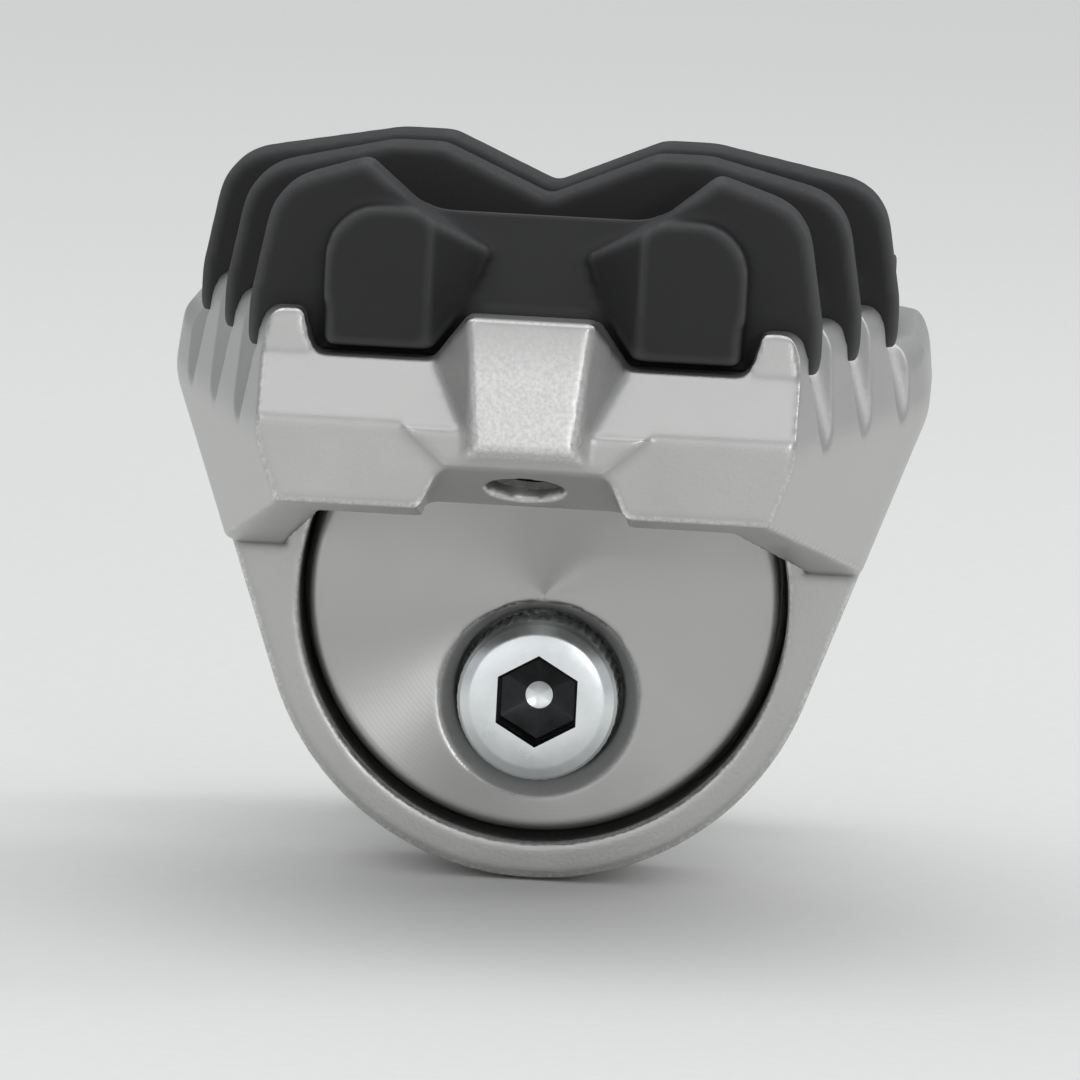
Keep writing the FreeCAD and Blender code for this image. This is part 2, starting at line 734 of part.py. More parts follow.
def add_sheet(body):
    """The base of the pad, which fills the recess and covers the heel with a narrow edge left bare."""
    sheet = new_sketch(body, "sheet", "XY", offset="levels.deck_top")
    behind_rim = "levels.rim_end - dims.fin_clear"
    in_rim = "dims.rim_thick + dims.pad_clear"
    bare = "dims.flank_lean + dims.sheet_inset"
    draw_outline(sheet, both_sides([
        (
            f"{flank_at('levels.recess_front')} - ({in_rim})",
            "-levels.recess_front + dims.pad_clear",
        ),
        (f"{flank_at(behind_rim)} - ({in_rim})", f"-({behind_rim})"),
        (f"{flank_at(behind_rim)} - ({bare})", f"-({behind_rim})"),
        (f"levels.full_half - ({bare})", "-dims.wide_from"),
        (f"levels.full_half - ({bare})", f"-dims.inner_end - ({bare})"),
    ]))
    base = extrude(body, "Pad", sheet, "dims.tooth_high + dims.sheet_rise")

    def on_sheet_corner(edge):
        box = edge.BoundBox
        return box.ZLength > 1 and near(-box.Center.y, f"dims.inner_end + {bare}")

    return round_edges(body, base, "sheet_rounds", "dims.sheet_round", on_sheet_corner)


def add_fins(body):
    """One upright fin in each gap between the teeth."""
    for n in range(GAPS):
        back = f"{gap_distance(n)} - dims.gap_wide / 2 + dims.fin_clear"
        section = new_sketch(body, f"fin_{n}", "XZ", offset=back)
        draw_outline(section, fin_outline(n))
        fin = extrude(body, "Pad", section, "dims.gap_wide - 2 * dims.fin_clear")
        round_shoulders(body, fin, n)


def add_lobes(body):
    """Two lobes in front of the first fin that reach down into the notches, with slanting cheeks."""
    lobes = new_sketch(body, "lobes", "XZ", offset="levels.gap_at")
    low = "levels.deck_top + dims.lobe_clear"
    over = "levels.boss_top + dims.pad_clear"
    high = "levels.tip_top + dims.lobe_rise"
    inner = "dims.lobe_face_from - dims.lobe_cheek"
    lobe = [
        ("dims.notch_from + dims.lobe_clear", low),
        ("dims.notch_to - dims.lobe_clear", low),
        ("dims.notch_to - dims.lobe_clear", over),
        ("dims.lobe_to", over),
        ("dims.lobe_to", high),
        (inner, high),
        (inner, over),
        ("dims.notch_from + dims.lobe_clear", over),
    ]
    draw_outline(lobes, lobe)
    draw_outline(lobes, mirrored(lobe))
    front = "dims.reach - dims.band_run - dims.lobe_set"
    blocks = extrude(body, "Pad", lobes, f"{front} - levels.gap_at")

    def on_outer_top(edge):
        box = edge.BoundBox
        return near(box.ZMin, high) and near(abs(box.Center.x), "dims.lobe_to") and box.YLength > 0.5

    round_edges(body, blocks, "lobe_rounds", "dims.lobe_round", on_outer_top)
    cheeks = new_sketch(body, "cheeks", "XY", offset=f"{high} + {AWAY}")
    draw_outline(cheeks, both_sides([
        ("dims.lobe_face_from", f"-({front}) - 1"),
        ("dims.lobe_face_from", f"-({front})"),
        (inner, f"-({front}) + dims.lobe_cheek"),
    ]))
    return extrude(body, "Pocket", cheeks, f"{high} + {AWAY} - ({over})")


def add_ramp(body):
    """The slope from the boss up to the back of the first fin, in a waisted gap through that fin."""
    foot = "levels.boss_top + dims.pad_clear"
    head = "levels.tip_top + dims.valley_rise"
    gap = new_sketch(body, "ramp_gap", "XZ", offset=f"dims.reach + {AWAY}")
    draw_outline(gap, both_sides([
        ("dims.ramp_wide / 2", foot),
        ("dims.ramp_waist / 2", f"{foot} + dims.ramp_waist_rise"),
        ("dims.ramp_wide_top / 2", head),
        ("dims.hump_at + dims.ramp_flare", "levels.tip_top + dims.hump_rise"),
        ("dims.hump_at + dims.ramp_flare", f"{head} + {AWAY}"),
    ]))
    behind = "levels.gap_at - dims.gap_wide / 2"
    extrude(body, "Pocket", gap, f"dims.reach + {AWAY} - ({behind})")
    ramp = new_sketch(body, "ramp", "YZ")
    front = "-dims.reach + dims.ramp_set"
    draw_outline(ramp, [
        (front, foot),
        (f"{front} + dims.ramp_run", head),
        (f"{front} + dims.ramp_run", f"{foot} - dims.boss_rise"),
        (front, f"{foot} - dims.boss_rise"),
    ])
    return extrude(body, "Pad", ramp, "dims.ramp_wide_top", midplane=True)


def add_heel(body):
    """The raised heel next to the motorcycle, with low ribs across it."""
    side = "levels.full_half - dims.flank_lean - dims.sheet_inset - dims.panel_inset"
    front = f"{gap_distance(GAPS - 1)} - dims.gap_wide / 2 - dims.panel_gap"
    back = "dims.inner_end + dims.flank_lean + dims.sheet_inset + dims.panel_inset"
    heel = new_sketch(body, "heel", "XY", offset="levels.tip_top")
    draw_outline(heel, both_sides([(side, f"-({front})"), (side, f"-({back})")]))
    block = extrude(body, "Pad", heel, "dims.panel_rise")

    def on_heel_corner(edge):
        box = edge.BoundBox
        upright = box.ZLength > 1 and box.XLength < 0.01 and box.YLength < 0.01
        return upright and near(abs(box.Center.x), side) and near(box.ZMax, top)

    top = "levels.tip_top + dims.panel_rise"
    round_edges(body, block, "heel_rounds", "dims.panel_round", on_heel_corner)
    ribs = new_sketch(body, "heel_ribs", "XY", offset=top)
    for n in range(RIBS):
        rib_front = f"{front} - dims.rib_first - {n} * dims.rib_pitch"
        draw_outline(ribs, both_sides([
            (f"{side} - dims.rib_inset", f"-({rib_front})"),
            (f"{side} - dims.rib_inset", f"-({rib_front} - dims.rib_wide)"),
        ]))
    return extrude(body, "Pad", ribs, "dims.rib_rise")


def add_studs(body):
    """Studs through the windows of the deck, with lips under it that hold the pad down."""
    foot = "levels.deck_low - dims.stud_lip_high"
    studs = new_sketch(body, "studs", "XY", offset=foot)
    lips = new_sketch(body, "stud_lips", "XY", offset=foot)
    for n in range(GAPS):
        for side in window_outlines(n, "-dims.pad_clear"):
            draw_outline(studs, side)
        for side in window_outlines(n, "dims.stud_lip"):
            draw_outline(lips, side)
    extrude(body, "Pad", studs, "dims.deck_thick + dims.stud_lip_high + 1")
    return extrude(body, "Pad", lips, "dims.stud_lip_high")


def make_rubber_pad():
    body = new_body("rubber_pad")
    add_sheet(body)
    add_fins(body)
    add_lobes(body)
    add_ramp(body)
    add_heel(body)
    add_studs(body)
    return body


# Adapter between the ring and the hinge

def make_adapter():
    """The eye on the hinge pin, a neck, and the flange and spigot that the ring is clamped on."""
    body = new_body("hinge_adapter")
    neck = new_sketch(body, "neck", "XZ", offset="dims.eye_round + dims.eye_relief")
    half = "dims.neck_wide / 2"
    draw_outline(neck, both_sides([(half, "dims.eye_round"), (half, "-dims.eye_round")]))
    bar = extrude(body, "Pad", neck, "levels.web_back - dims.eye_round - dims.eye_relief")

    def along_neck(edge):
        return abs(edge.BoundBox.YLength - edge.Length) < 0.01

    round_edges(body, bar, "neck_rounds", "dims.neck_round", along_neck)

    eye = new_sketch(body, "eye", "YZ", offset="-dims.tongue_wide / 2")
    draw_eye(eye)
    extrude(body, "Pad", eye, "levels.eye_far + dims.tongue_wide / 2")

    flange = new_sketch(body, "flange", "XZ", offset="levels.flange_back", lift="dims.height_offset")
    draw_circle(flange, "dims.seat_dia / 2")
    extrude(body, "Pad", flange, "dims.flange_thick")
    spigot = new_sketch(body, "spigot", "XZ", offset="levels.web_back", lift="dims.height_offset")
    draw_flatted_round(spigot, "dims.spigot_dia / 2", "dims.spigot_flats / 2")
    extrude(body, "Pad", spigot, "dims.web_thick - dims.spigot_short")

    step_top = "dims.coil_round - dims.wire_dia / 2 - dims.spring_clear"
    step = new_sketch(body, "spring_step", "XY", offset=step_top)
    far = f"dims.neck_wide / 2 + {AWAY}"
    draw_outline(step, [
        ("levels.eye_far", f"{AWAY}"),
        (far, f"{AWAY}"),
        (far, "-levels.flange_back"),
        ("levels.eye_far", "-levels.flange_back"),
    ])
    extrude(body, "Pocket", step, f"dims.eye_round + {AWAY}", reverse=True)

    pin_hole = new_sketch(body, "pin_hole", "YZ")
    draw_circle(pin_hole, "dims.pin_dia / 2 + dims.pin_clear")
    extrude(body, "Pocket", pin_hole, "0", midplane=True, through=True)
    thread = new_sketch(body, "thread_hole", "XZ", offset="levels.web_front")
    draw_circle(thread, "dims.bolt_dia / 2")
    extrude(body, "Pocket", thread, "levels.web_front - levels.bolt_end + dims.thread_spare")
    return body


def draw_eye(sketch):
    """The eye's side view: a half round about the pin, with a bar to the neck."""
    radius = number("dims.eye_round")
    back = number("-dims.eye_round - dims.eye_relief")
    circle = Part.Circle(Vector(0, 0, 0), Vector(0, 0, 1), radius)
    round_end = sketch.addGeometry(Part.ArcOfCircle(circle, -math.pi / 2, math.pi / 2), False)
    points = [Vector(y, z, 0) for y, z in ((0, radius), (back, radius), (back, -radius), (0, -radius))]
    top, end, low = [
        sketch.addGeometry(Part.LineSegment(a, b), False) for a, b in zip(points, points[1:])
    ]
    join(sketch, "Coincident", [(top, end), (end, low)])
    join(sketch, "Tangent", [(round_end, top), (low, round_end)])
    sketch.addConstraint(Sketcher.Constraint("Coincident", round_end, 3, -1, 1))
    sketch.addConstraint(Sketcher.Constraint("Vertical", end))
    sketch.addConstraint(Sketcher.Constraint("Horizontal", top))
    index = sketch.addConstraint(Sketcher.Constraint("Radius", round_end, radius))
    sketch.setExpression(f"Constraints[{index}]", "dims.eye_round")
    index = sketch.addConstraint(Sketcher.Constraint("DistanceX", -1, 1, end, 1, back))
    sketch.setExpression(f"Constraints[{index}]", "-dims.eye_round - dims.eye_relief")


# Clamp disc and screw

def turned(body, kind, name, half_section, axis_lift="0"):
    """A Revolution or a Groove about the Y axis, from a half section of (radius, distance) corners."""
    sketch = new_sketch(body, name, "XY", offset=axis_lift)
    draw_outline(sketch, [(radius, f"-({distance})") for radius, distance in half_section])
    feature = body.newObject("PartDesign::" + kind, name + "_" + kind.lower())
    feature.Profile = sketch
    feature.ReferenceAxis = (sketch, ["V_Axis"])
    feature.Angle = 360
    doc.recompute()
    return feature


def make_clamp_disc():
    """A turned disc with a shallow dish. The screw sits below its axis, in a flared recess."""
    body = new_body("clamp_disc")
    edge = "dims.disc_edge"
    turned(body, "Revolution", "disc", [
        ("0", "levels.web_front"),
        ("dims.seat_dia / 2", "levels.web_front"),
        ("dims.seat_dia / 2", f"levels.disc_front - {edge}"),
        (f"dims.seat_dia / 2 - {edge}", "levels.disc_front"),
        ("0", "levels.disc_front - dims.disc_dish"),
    ], axis_lift="dims.height_offset")
    recess = "dims.head_dia / 2 + dims.recess_clear"
    hole = "dims.bolt_dia / 2 + dims.bolt_clear"
    flare_from = "levels.disc_front - dims.disc_dish - dims.recess_flare"
    turned(body, "Groove", "screw_recess", [
        ("0", f"levels.web_front - {AWAY}"),
        (hole, f"levels.web_front - {AWAY}"),
        (hole, "levels.head_seat"),
        (recess, "levels.head_seat"),
        (recess, flare_from),
        (f"{recess} + dims.recess_flare + {AWAY}", f"{flare_from} + dims.recess_flare + {AWAY}"),
        ("0", f"{flare_from} + dims.recess_flare + {AWAY}"),
    ])
    return body


def make_clamp_screw():
    """A socket head cap screw. Its shank has the thread's outer diameter."""
    body = new_body("clamp_screw")
    shank = "dims.bolt_dia / 2"
    head_top = "levels.head_seat + dims.head_high"
    turned(body, "Revolution", "screw", [
        ("0", "levels.bolt_end"),
        (f"{shank} - 1", "levels.bolt_end"),
        (shank, "levels.bolt_end + 1"),
        (shank, "levels.head_seat"),
        ("dims.head_dia / 2", "levels.head_seat"),
        ("dims.head_dia / 2", f"{head_top} - dims.head_edge"),
        ("dims.head_dia / 2 - dims.head_edge", head_top),
        ("0", head_top),
    ])
    socket = new_sketch(body, "hex_socket", "XZ", offset=head_top)
    draw_outline(socket, hex_corners())
    extrude(body, "Pocket", socket, "dims.hex_deep")
    return body


def hex_corners():
    """The corners of the hex key's section, with one pointing up."""
    radius = "dims.hex_key / sqrt(3)"
    return [(f"{radius} * sin({60 * n} deg)", f"{radius} * cos({60 * n} deg)") for n in range(6)]


# Hinge bolt and return spring

def make_pivot_bolt():
    """A shoulder bolt with a hex socket, whose shoulder is the hinge pin.

    Its thread is a plain round of the outer diameter. It is drawn with distance along its own
    length and then turned so that the thread points to +X.
    """
    body = new_body("pivot_bolt")
    shoulder = "dims.pin_dia / 2"
    thread = "dims.pivot_thread_dia / 2"
    head = "dims.pivot_head_dia / 2"
    head_top = "-levels.pivot_seat - dims.pivot_head_thick"
    turned(body, "Revolution", "bolt", [
        ("0", head_top),
        (f"{head} - dims.pivot_head_edge", head_top),
        (head, f"{head_top} + dims.pivot_head_edge"),
        (head, "-levels.pivot_seat"),
        (shoulder, "-levels.pivot_seat"),
        (shoulder, "levels.pivot_step"),
        (thread, "levels.pivot_step"),
        (thread, "levels.pivot_end - 1"),
        (f"{thread} - 1", "levels.pivot_end"),
        ("0", "levels.pivot_end"),
    ])
    socket = new_sketch(body, "pivot_socket", "XZ", offset=head_top)
    draw_outline(socket, hex_corners())
    extrude(body, "Pocket", socket, "dims.pivot_hex_deep", reverse=True)
    body.Placement = Placement(Vector(), Rotation(Vector(0, 0, 1), 90))
    return body


def make_return_spring():
    """A torsion spring about the pin, with one leg on the adapter's step and one for the bracket."""
    radius = number("dims.coil_round")
    wire = number("dims.wire_dia")
    rise = (wire + number("dims.coil_gap")) / COIL_STEPS
    first = number("levels.coil_from") + wire / 2
    along_pin = Vector(1, 0, 0)
    sections = []

    def add_section(step, outboard=0.0):
        """The wire's cross-section after so many steps of the coil, moved outboard along a leg."""
        turn = 2 * math.pi * step / COIL_STEPS
        away = Vector(0, -math.sin(turn), math.cos(turn))
        middle = along_pin * (first + rise * step) + away * radius + Vector(0, -outboard, 0)
        corners = []
        for n in range(WIRE_SIDES + 1):
            flat = math.pi * (2 * n + 1) / WIRE_SIDES
            corners.append(middle + (along_pin * math.cos(flat) + away * math.sin(flat)) * (wire / 2))
        sections.append(Part.makePolygon(corners))

    steps = round(number("dims.coil_turns") * COIL_STEPS)
    add_section(0, -number("dims.spring_tail"))
    for step in range(steps + 1):
        add_section(step)
    add_section(steps, number("dims.spring_leg"))
    spring = doc.addObject("Part::Feature", "return_spring")
    spring.Label = "return_spring"
    spring.Shape = Part.makeLoft(sections, True, True)
    return spring


# Build, check and write

def check_all(pieces):
    """Stops if any object failed to build or any piece is not one valid solid."""
    doc.recompute()
    failed = [o.Label for o in doc.Objects if {"Invalid", "Error"} & set(o.State)]
    if failed:
        raise RuntimeError(f"these objects did not build: {failed}")
    for piece in pieces:
        shape = piece.Shape
        if shape.isNull() or not shape.isValid() or len(shape.Solids) != 1:
            raise RuntimeError(f"{piece.Label} is not one valid solid")
        print(f"{piece.Label}: {shape.Volume / 1000:.2f} cm3, {shape.BoundBox}")


def main():
    pieces = [
        make_peg_frame(),
        make_rubber_pad(),
        make_adapter(),
        make_clamp_disc(),
        make_clamp_screw(),
        make_pivot_bolt(),
        make_return_spring(),
    ]
    check_all(pieces)
    os.makedirs("parts", exist_ok=True)
    for piece in pieces:
        piece.Shape.exportStep(f"parts/{piece.Label}.step")


main()
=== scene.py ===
# %% [markdown]
# # A folding motorcycle footpeg
# The CAD model holds the sizes of the peg. This lesson dresses it: first the frame is loaded, then
# camera and light are set up, then each finish is mixed, and last each piece gets its finish and
# a finer body that takes the place of the CAD one. Lengths on the peg are written in millimetres,
# and the room around it in metres.

# %% Load the frame
import math

import bmesh
import bpy
from mathutils import Matrix, Vector


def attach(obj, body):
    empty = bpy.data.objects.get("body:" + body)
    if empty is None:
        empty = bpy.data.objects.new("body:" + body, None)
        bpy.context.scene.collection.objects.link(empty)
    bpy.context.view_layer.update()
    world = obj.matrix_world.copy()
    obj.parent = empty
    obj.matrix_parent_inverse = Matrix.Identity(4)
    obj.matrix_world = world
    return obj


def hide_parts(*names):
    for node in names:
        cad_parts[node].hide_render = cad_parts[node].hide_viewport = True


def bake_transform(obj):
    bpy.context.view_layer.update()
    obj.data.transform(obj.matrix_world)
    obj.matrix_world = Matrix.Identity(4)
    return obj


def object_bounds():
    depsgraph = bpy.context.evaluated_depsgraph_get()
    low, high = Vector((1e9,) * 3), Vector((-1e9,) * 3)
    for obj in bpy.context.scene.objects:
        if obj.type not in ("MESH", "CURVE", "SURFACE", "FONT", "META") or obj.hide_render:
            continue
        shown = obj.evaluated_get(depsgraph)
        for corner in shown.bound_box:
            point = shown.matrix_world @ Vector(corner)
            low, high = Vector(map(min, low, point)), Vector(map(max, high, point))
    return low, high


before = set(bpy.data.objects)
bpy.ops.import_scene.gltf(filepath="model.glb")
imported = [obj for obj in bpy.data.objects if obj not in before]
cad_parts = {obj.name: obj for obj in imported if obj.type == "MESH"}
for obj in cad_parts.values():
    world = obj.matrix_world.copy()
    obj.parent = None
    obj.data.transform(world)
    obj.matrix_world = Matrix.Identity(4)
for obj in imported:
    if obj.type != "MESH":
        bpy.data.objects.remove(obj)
cad_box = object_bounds()
MM = 0.001
print("CAD nodes:", sorted(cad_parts))

# %% [markdown]
# ## Camera
# The photograph looks straight at the outer end of the peg, from a little above and a little to
# the right, with a long lens. The camera stands at that distance, so the perspective is the same,
# and a still longer lens lets the peg fill the picture. The horizon of the photograph is tilted
# slightly, which is a small roll of the camera.

# %% Camera
FRONT = Vector((1.35, -95, 28.8)) * MM  # the point on the front face that the distance starts from
AIM = Vector((0.6, -70, 16.0)) * MM
DISTANCE = 900 * MM
ELEVATION = math.radians(5.4)
YAW = math.radians(2.1)
ROLL = math.radians(3.0)
FRAME_PIXELS = 1080
PHOTO_FOCAL = 3965  # focal length of the photograph, in its own pixels
CLOSER = 3.0  # how much larger the peg is shown than in the photograph
SENSOR = 36

outward = Vector((
    math.sin(YAW) * math.cos(ELEVATION), -math.cos(YAW) * math.cos(ELEVATION), math.sin(ELEVATION)
))
stand = FRONT + outward * DISTANCE
lens = bpy.data.cameras.new("camera")
lens.sensor_width = SENSOR
lens.lens = SENSOR * PHOTO_FOCAL * CLOSER / FRAME_PIXELS
lens.clip_start = 0.05
lens.clip_end = 20
camera = bpy.data.objects.new("camera", lens)
bpy.context.scene.collection.objects.link(camera)
turn = (AIM - stand).to_track_quat("-Z", "Y").to_matrix() @ Matrix.Rotation(ROLL, 3, "Z")
camera.matrix_world = Matrix.Translation(stand) @ turn.to_4x4()
bpy.context.scene.camera = camera
bpy.context.scene.view_settings.view_transform = "Standard"
print(f"camera {(AIM - stand).length:.3f} m from what it aims at, lens {lens.lens:.0f} mm")

# %% [markdown]
# ## Colours and nodes
# Colours are written as sRGB hex values, as in a paint program, and Blender's shaders want linear
# light, so one function converts them. A second small function adds a shader node with its
# settings and links, which keeps each material below short enough to read at a glance. A third
# starts a finish, with the place on the piece in millimetres, so that patterns have real sizes.

# %% Helpers for materials
def colour(text):
    """An sRGB hex value as linear red, green, blue and alpha."""
    parts = [int(text[i:i + 2], 16) / 255 for i in (1, 3, 5)]
    return [c / 12.92 if c <= 0.04045 else ((c + 0.055) / 1.055) ** 2.4 for c in parts] + [1.0]


def add(tree, kind, settings=(), links=()):
    """A node with its settings (properties or input values) and the sockets that feed its inputs."""
    node = tree.nodes.new("ShaderNode" + kind)
    for name, value in dict(settings).items():
        if hasattr(node, name):
            setattr(node, name, value)
        else:
            next(i for i in node.inputs if i.name == name and i.enabled).default_value = value
    for name, socket in dict(links).items():
        tree.links.new(socket, next(i for i in node.inputs if i.name == name and i.enabled))
    return node


def new_finish(name, base, metallic, roughness):
    """A material with its node tree, its Principled shader and its coordinates in millimetres."""
    material = bpy.data.materials.new(name)
    material.use_nodes = True
    tree = material.node_tree
    shader = tree.nodes["Principled BSDF"]
    shader.inputs["Base Color"].default_value = colour(base)
    shader.inputs["Metallic"].default_value = metallic
    shader.inputs["Roughness"].default_value = roughness
    place = add(tree, "TexCoord").outputs["Object"]
    millimetres = add(
        tree, "VectorMath", {"operation": "SCALE", "Scale": 1 / MM}, {"Vector": place}
    ).outputs["Vector"]
    return material, tree, shader, millimetres


print("white is", [round(c, 2) for c in colour("#ffffff")])

# %% [markdown]
# ## Floor
# A product picture like this is taken on a pale sweep of matt paper. The floor is one large sheet
# just under the peg.

# %% Floor
FLOOR_AT = cad_box[0][2]
FLOOR_HALF = 4
FLOOR_GAP = 0.0002
FIBRES = 0.6  # clumps of paper fibre per millimetre
paper, tree, shader, millimetres = new_finish("matt_paper", "#efefed", 0.0, 0.9)
fibres = add(tree, "TexNoise", {"Scale": FIBRES, "Detail": 4}, {"Vector": millimetres})
tone = add(
    tree, "Mix", {"data_type": "RGBA", "A": colour("#ececea"), "B": colour("#f2f2f0")},
    {"Factor": fibres.outputs["Fac"]},
)
tree.links.new(tone.outputs["Result"], shader.inputs["Base Color"])
mesh = bpy.data.meshes.new("floor")
bm = bmesh.new()
bmesh.ops.create_grid(bm, x_segments=1, y_segments=1, size=FLOOR_HALF)
bmesh.ops.translate(bm, verts=bm.verts, vec=(0, 0, FLOOR_AT - FLOOR_GAP))
bm.to_mesh(mesh)
bm.free()
floor = bpy.data.objects.new("floor", mesh)
floor.data.materials.append(paper)
bpy.context.scene.collection.objects.link(floor)
print(f"floor at {FLOOR_AT / MM:.1f} mm")

# %% [markdown]
# ## Light
# Metal shows what stands around it, so the lamps are large soft panels: one above, one at the
# front left, and a narrow one at the back right that draws a bright line on the edges. A small
# one at the front right gives the turned disc its bright wedge. The world is a white room, brighter
# overhead than at eye level, so that faces that lean back catch more light than upright ones.

# %% Lamps and world
MIDDLE = Vector((0, -0.06, 0.015))  # the middle of the peg, which every lamp faces
ROOM_LIGHT = 0.84


def add_lamp(name, place, wide, high, watts):
    """A panel of that width and height, turned to the middle of the peg."""
    lamp = bpy.data.lights.new(name, "AREA")
    lamp.shape = "RECTANGLE"
    lamp.size = wide
    lamp.size_y = high
    lamp.energy = watts
    holder = bpy.data.objects.new(name, lamp)
    bpy.context.scene.collection.objects.link(holder)
    facing = (MIDDLE - Vector(place)).to_track_quat("-Z", "Y").to_matrix().to_4x4()
    holder.matrix_world = Matrix.Translation(place) @ facing


add_lamp("top_panel", (-0.15, -0.35, 0.9), wide=1.2, high=1.0, watts=1.9)
add_lamp("front_left_panel", (-0.5, -1.6, 0.28), wide=1.0, high=0.8, watts=1.9)
add_lamp("small_right_panel", (0.42, -1.4, 0.26), wide=0.1, high=0.1, watts=1.5)
add_lamp("back_right_panel", (0.7, 0.3, 0.5), wide=0.25, high=0.7, watts=1.2)

world = bpy.data.worlds.new("white_room")
world.use_nodes = True
bpy.context.scene.world = world
tree = world.node_tree
room = tree.nodes["Background"]
way = add(tree, "SeparateXYZ", links={"Vector": add(tree, "TexCoord").outputs["Generated"]})
height = add(tree, "MapRange", {"From Min": -0.1, "From Max": 0.8}, {"Value": way.outputs["Z"]})
shade = add(
    tree, "Mix", {"data_type": "RGBA", "A": colour("#aaacae"), "B": colour("#f4f6f8")},
    {"Factor": height.outputs["Result"]},
)
tree.links.new(shade.outputs["Result"], room.inputs["Color"])
room.inputs["Strength"].default_value = ROOM_LIGHT

# %% [markdown]
# ## Cast steel
# The platform is stainless steel cast in a ceramic mould and then blasted, which leaves a fine
# grain of about a quarter of a millimetre and a soft, satin shine. Boots rub the raised edges
# bright, and a painted highlight is laid on them as well. The face of the boss, which is the first
# to touch the ground, is scuffed and also painted paler, as painted light on that forward face.
# The grain is a bump from a noise at that size, and the shine varies slowly over the surface. The
# mesh itself tells the shader where its edges are, as an attribute that is filled further down,
# and the outboard position tells it where the pale face of the boss is.

# %% Cast steel
GRAIN = 0.3  # millimetres between the pits, drawn a little coarse so that they show
CLOUD = 9  # millimetres across a patch of brighter or duller skin
PALE_FACE_FROM, PALE_FACE_TO = 95.7, 96.3  # outboard distance over which the pale face sets in, scuffs and painted light, on the boss only
cast_steel, tree, shader, millimetres = new_finish("blasted_cast_steel", "#c6c6c4", 1.0, 0.36)
pits = add(
    tree, "TexNoise", {"Scale": 1 / GRAIN, "Detail": 3, "Roughness": 0.6}, {"Vector": millimetres}
)
clouds = add(
    tree, "TexNoise", {"Scale": 1 / CLOUD, "Detail": 4, "Roughness": 0.55}, {"Vector": millimetres}
)
edge = add(tree, "MapRange", {"From Min": 0.08, "From Max": 0.24}, {
    "Value": add(tree, "Attribute", {"attribute_name": "edge"}).outputs["Fac"],
})
outboard = add(tree, "SeparateXYZ", links={"Vector": millimetres}).outputs["Y"]
# painted light: the boss face is painted paler, partly scuffs and partly painted light
pale_face = add(tree, "MapRange", {"From Min": -PALE_FACE_FROM, "From Max": -PALE_FACE_TO}, {"Value": outboard})
skin = add(
    tree, "Mix", {"data_type": "RGBA", "A": colour("#adadab"), "B": colour("#c2c2c0")},
    {"Factor": clouds.outputs["Fac"]},
)
scratches = add(tree, "MapRange", {"From Min": 0.35, "From Max": 0.65}, {"Value": pits.outputs["Fac"]})
pale = add(
    tree, "Mix", {"data_type": "RGBA", "A": colour("#cacac8"), "B": colour("#dededc")},
    {"Factor": scratches.outputs["Result"]},
)
with_pale_face = add(
    tree, "Mix", {"data_type": "RGBA"},
    {"Factor": pale_face.outputs["Result"], "A": skin.outputs["Result"], "B": pale.outputs["Result"]},
)
# painted highlight: raised edges are painted near white, partly rubbed and partly a painted highlight
worn_edge_highlight = add(
    tree, "Mix", {"data_type": "RGBA", "A": colour("#c0c0be"), "B": colour("#f6f6f4")},
    {"Factor": scratches.outputs["Result"]},
)
worn_and_highlit = add(
    tree, "Mix", {"data_type": "RGBA"},
    {"Factor": edge.outputs["Result"], "A": with_pale_face.outputs["Result"], "B": worn_edge_highlight.outputs["Result"]},
)
tree.links.new(worn_and_highlit.outputs["Result"], shader.inputs["Base Color"])
dull = add(tree, "MapRange", {"To Min": 0.32, "To Max": 0.46}, {"Value": clouds.outputs["Fac"]})
gloss = add(
    tree, "Mix", {"data_type": "FLOAT", "B": 0.22},
    {"Factor": edge.outputs["Result"], "A": dull.outputs["Result"]},
)
tree.links.new(gloss.outputs["Result"], shader.inputs["Roughness"])
bump = add(
    tree, "Bump", {"Strength": 0.35, "Distance": 0.05 * MM}, {"Height": pits.outputs["Fac"]}
)
tree.links.new(bump.outputs["Normal"], shader.inputs["Normal"])
print("finish:", cast_steel.name)

# %% [markdown]
# ## Turned steel
# The clamp disc comes off a lathe: its face carries fine rings about the axis of the disc, which
# fan the light out into bright and dark wedges. A wave texture of rings, centred on that axis,
# drives a slight bump, and a highlight that is stretched across the rings draws the wedges.

# %% Turned steel
RINGS = 0.35  # millimetres from ring to ring, coarser than the real feed so that they show
WAVE_AT_ONE = 0.314  # units from crest to crest of a wave texture at scale 1
TURNED_CLOUD = 6  # millimetres across a duller patch
DISC_AXIS = Vector((0, 0, 8.0))
turned_steel, tree, shader, millimetres = new_finish("turned_steel", "#b2b2b0", 1.0, 0.3)
about_axis = add(tree, "VectorMath", {"operation": "SUBTRACT"}, {"Vector": millimetres})
about_axis.inputs[1].default_value = DISC_AXIS
rings = add(
    tree, "TexWave",
    {
        "wave_type": "RINGS", "rings_direction": "Y", "Scale": WAVE_AT_ONE / RINGS,
        "Distortion": 0.4, "Detail": 2,
    },
    {"Vector": about_axis.outputs["Vector"]},
)
clouds = add(tree, "TexNoise", {"Scale": 1 / TURNED_CLOUD, "Detail": 3}, {"Vector": millimetres})
dull = add(tree, "MapRange", {"To Min": 0.26, "To Max": 0.36}, {"Value": clouds.outputs["Fac"]})
tree.links.new(dull.outputs["Result"], shader.inputs["Roughness"])
bump = add(tree, "Bump", {"Strength": 0.05, "Distance": 0.03 * MM}, {"Height": rings.outputs["Fac"]})
tree.links.new(bump.outputs["Normal"], shader.inputs["Normal"])
shader.inputs["Anisotropic"].default_value = 0.85
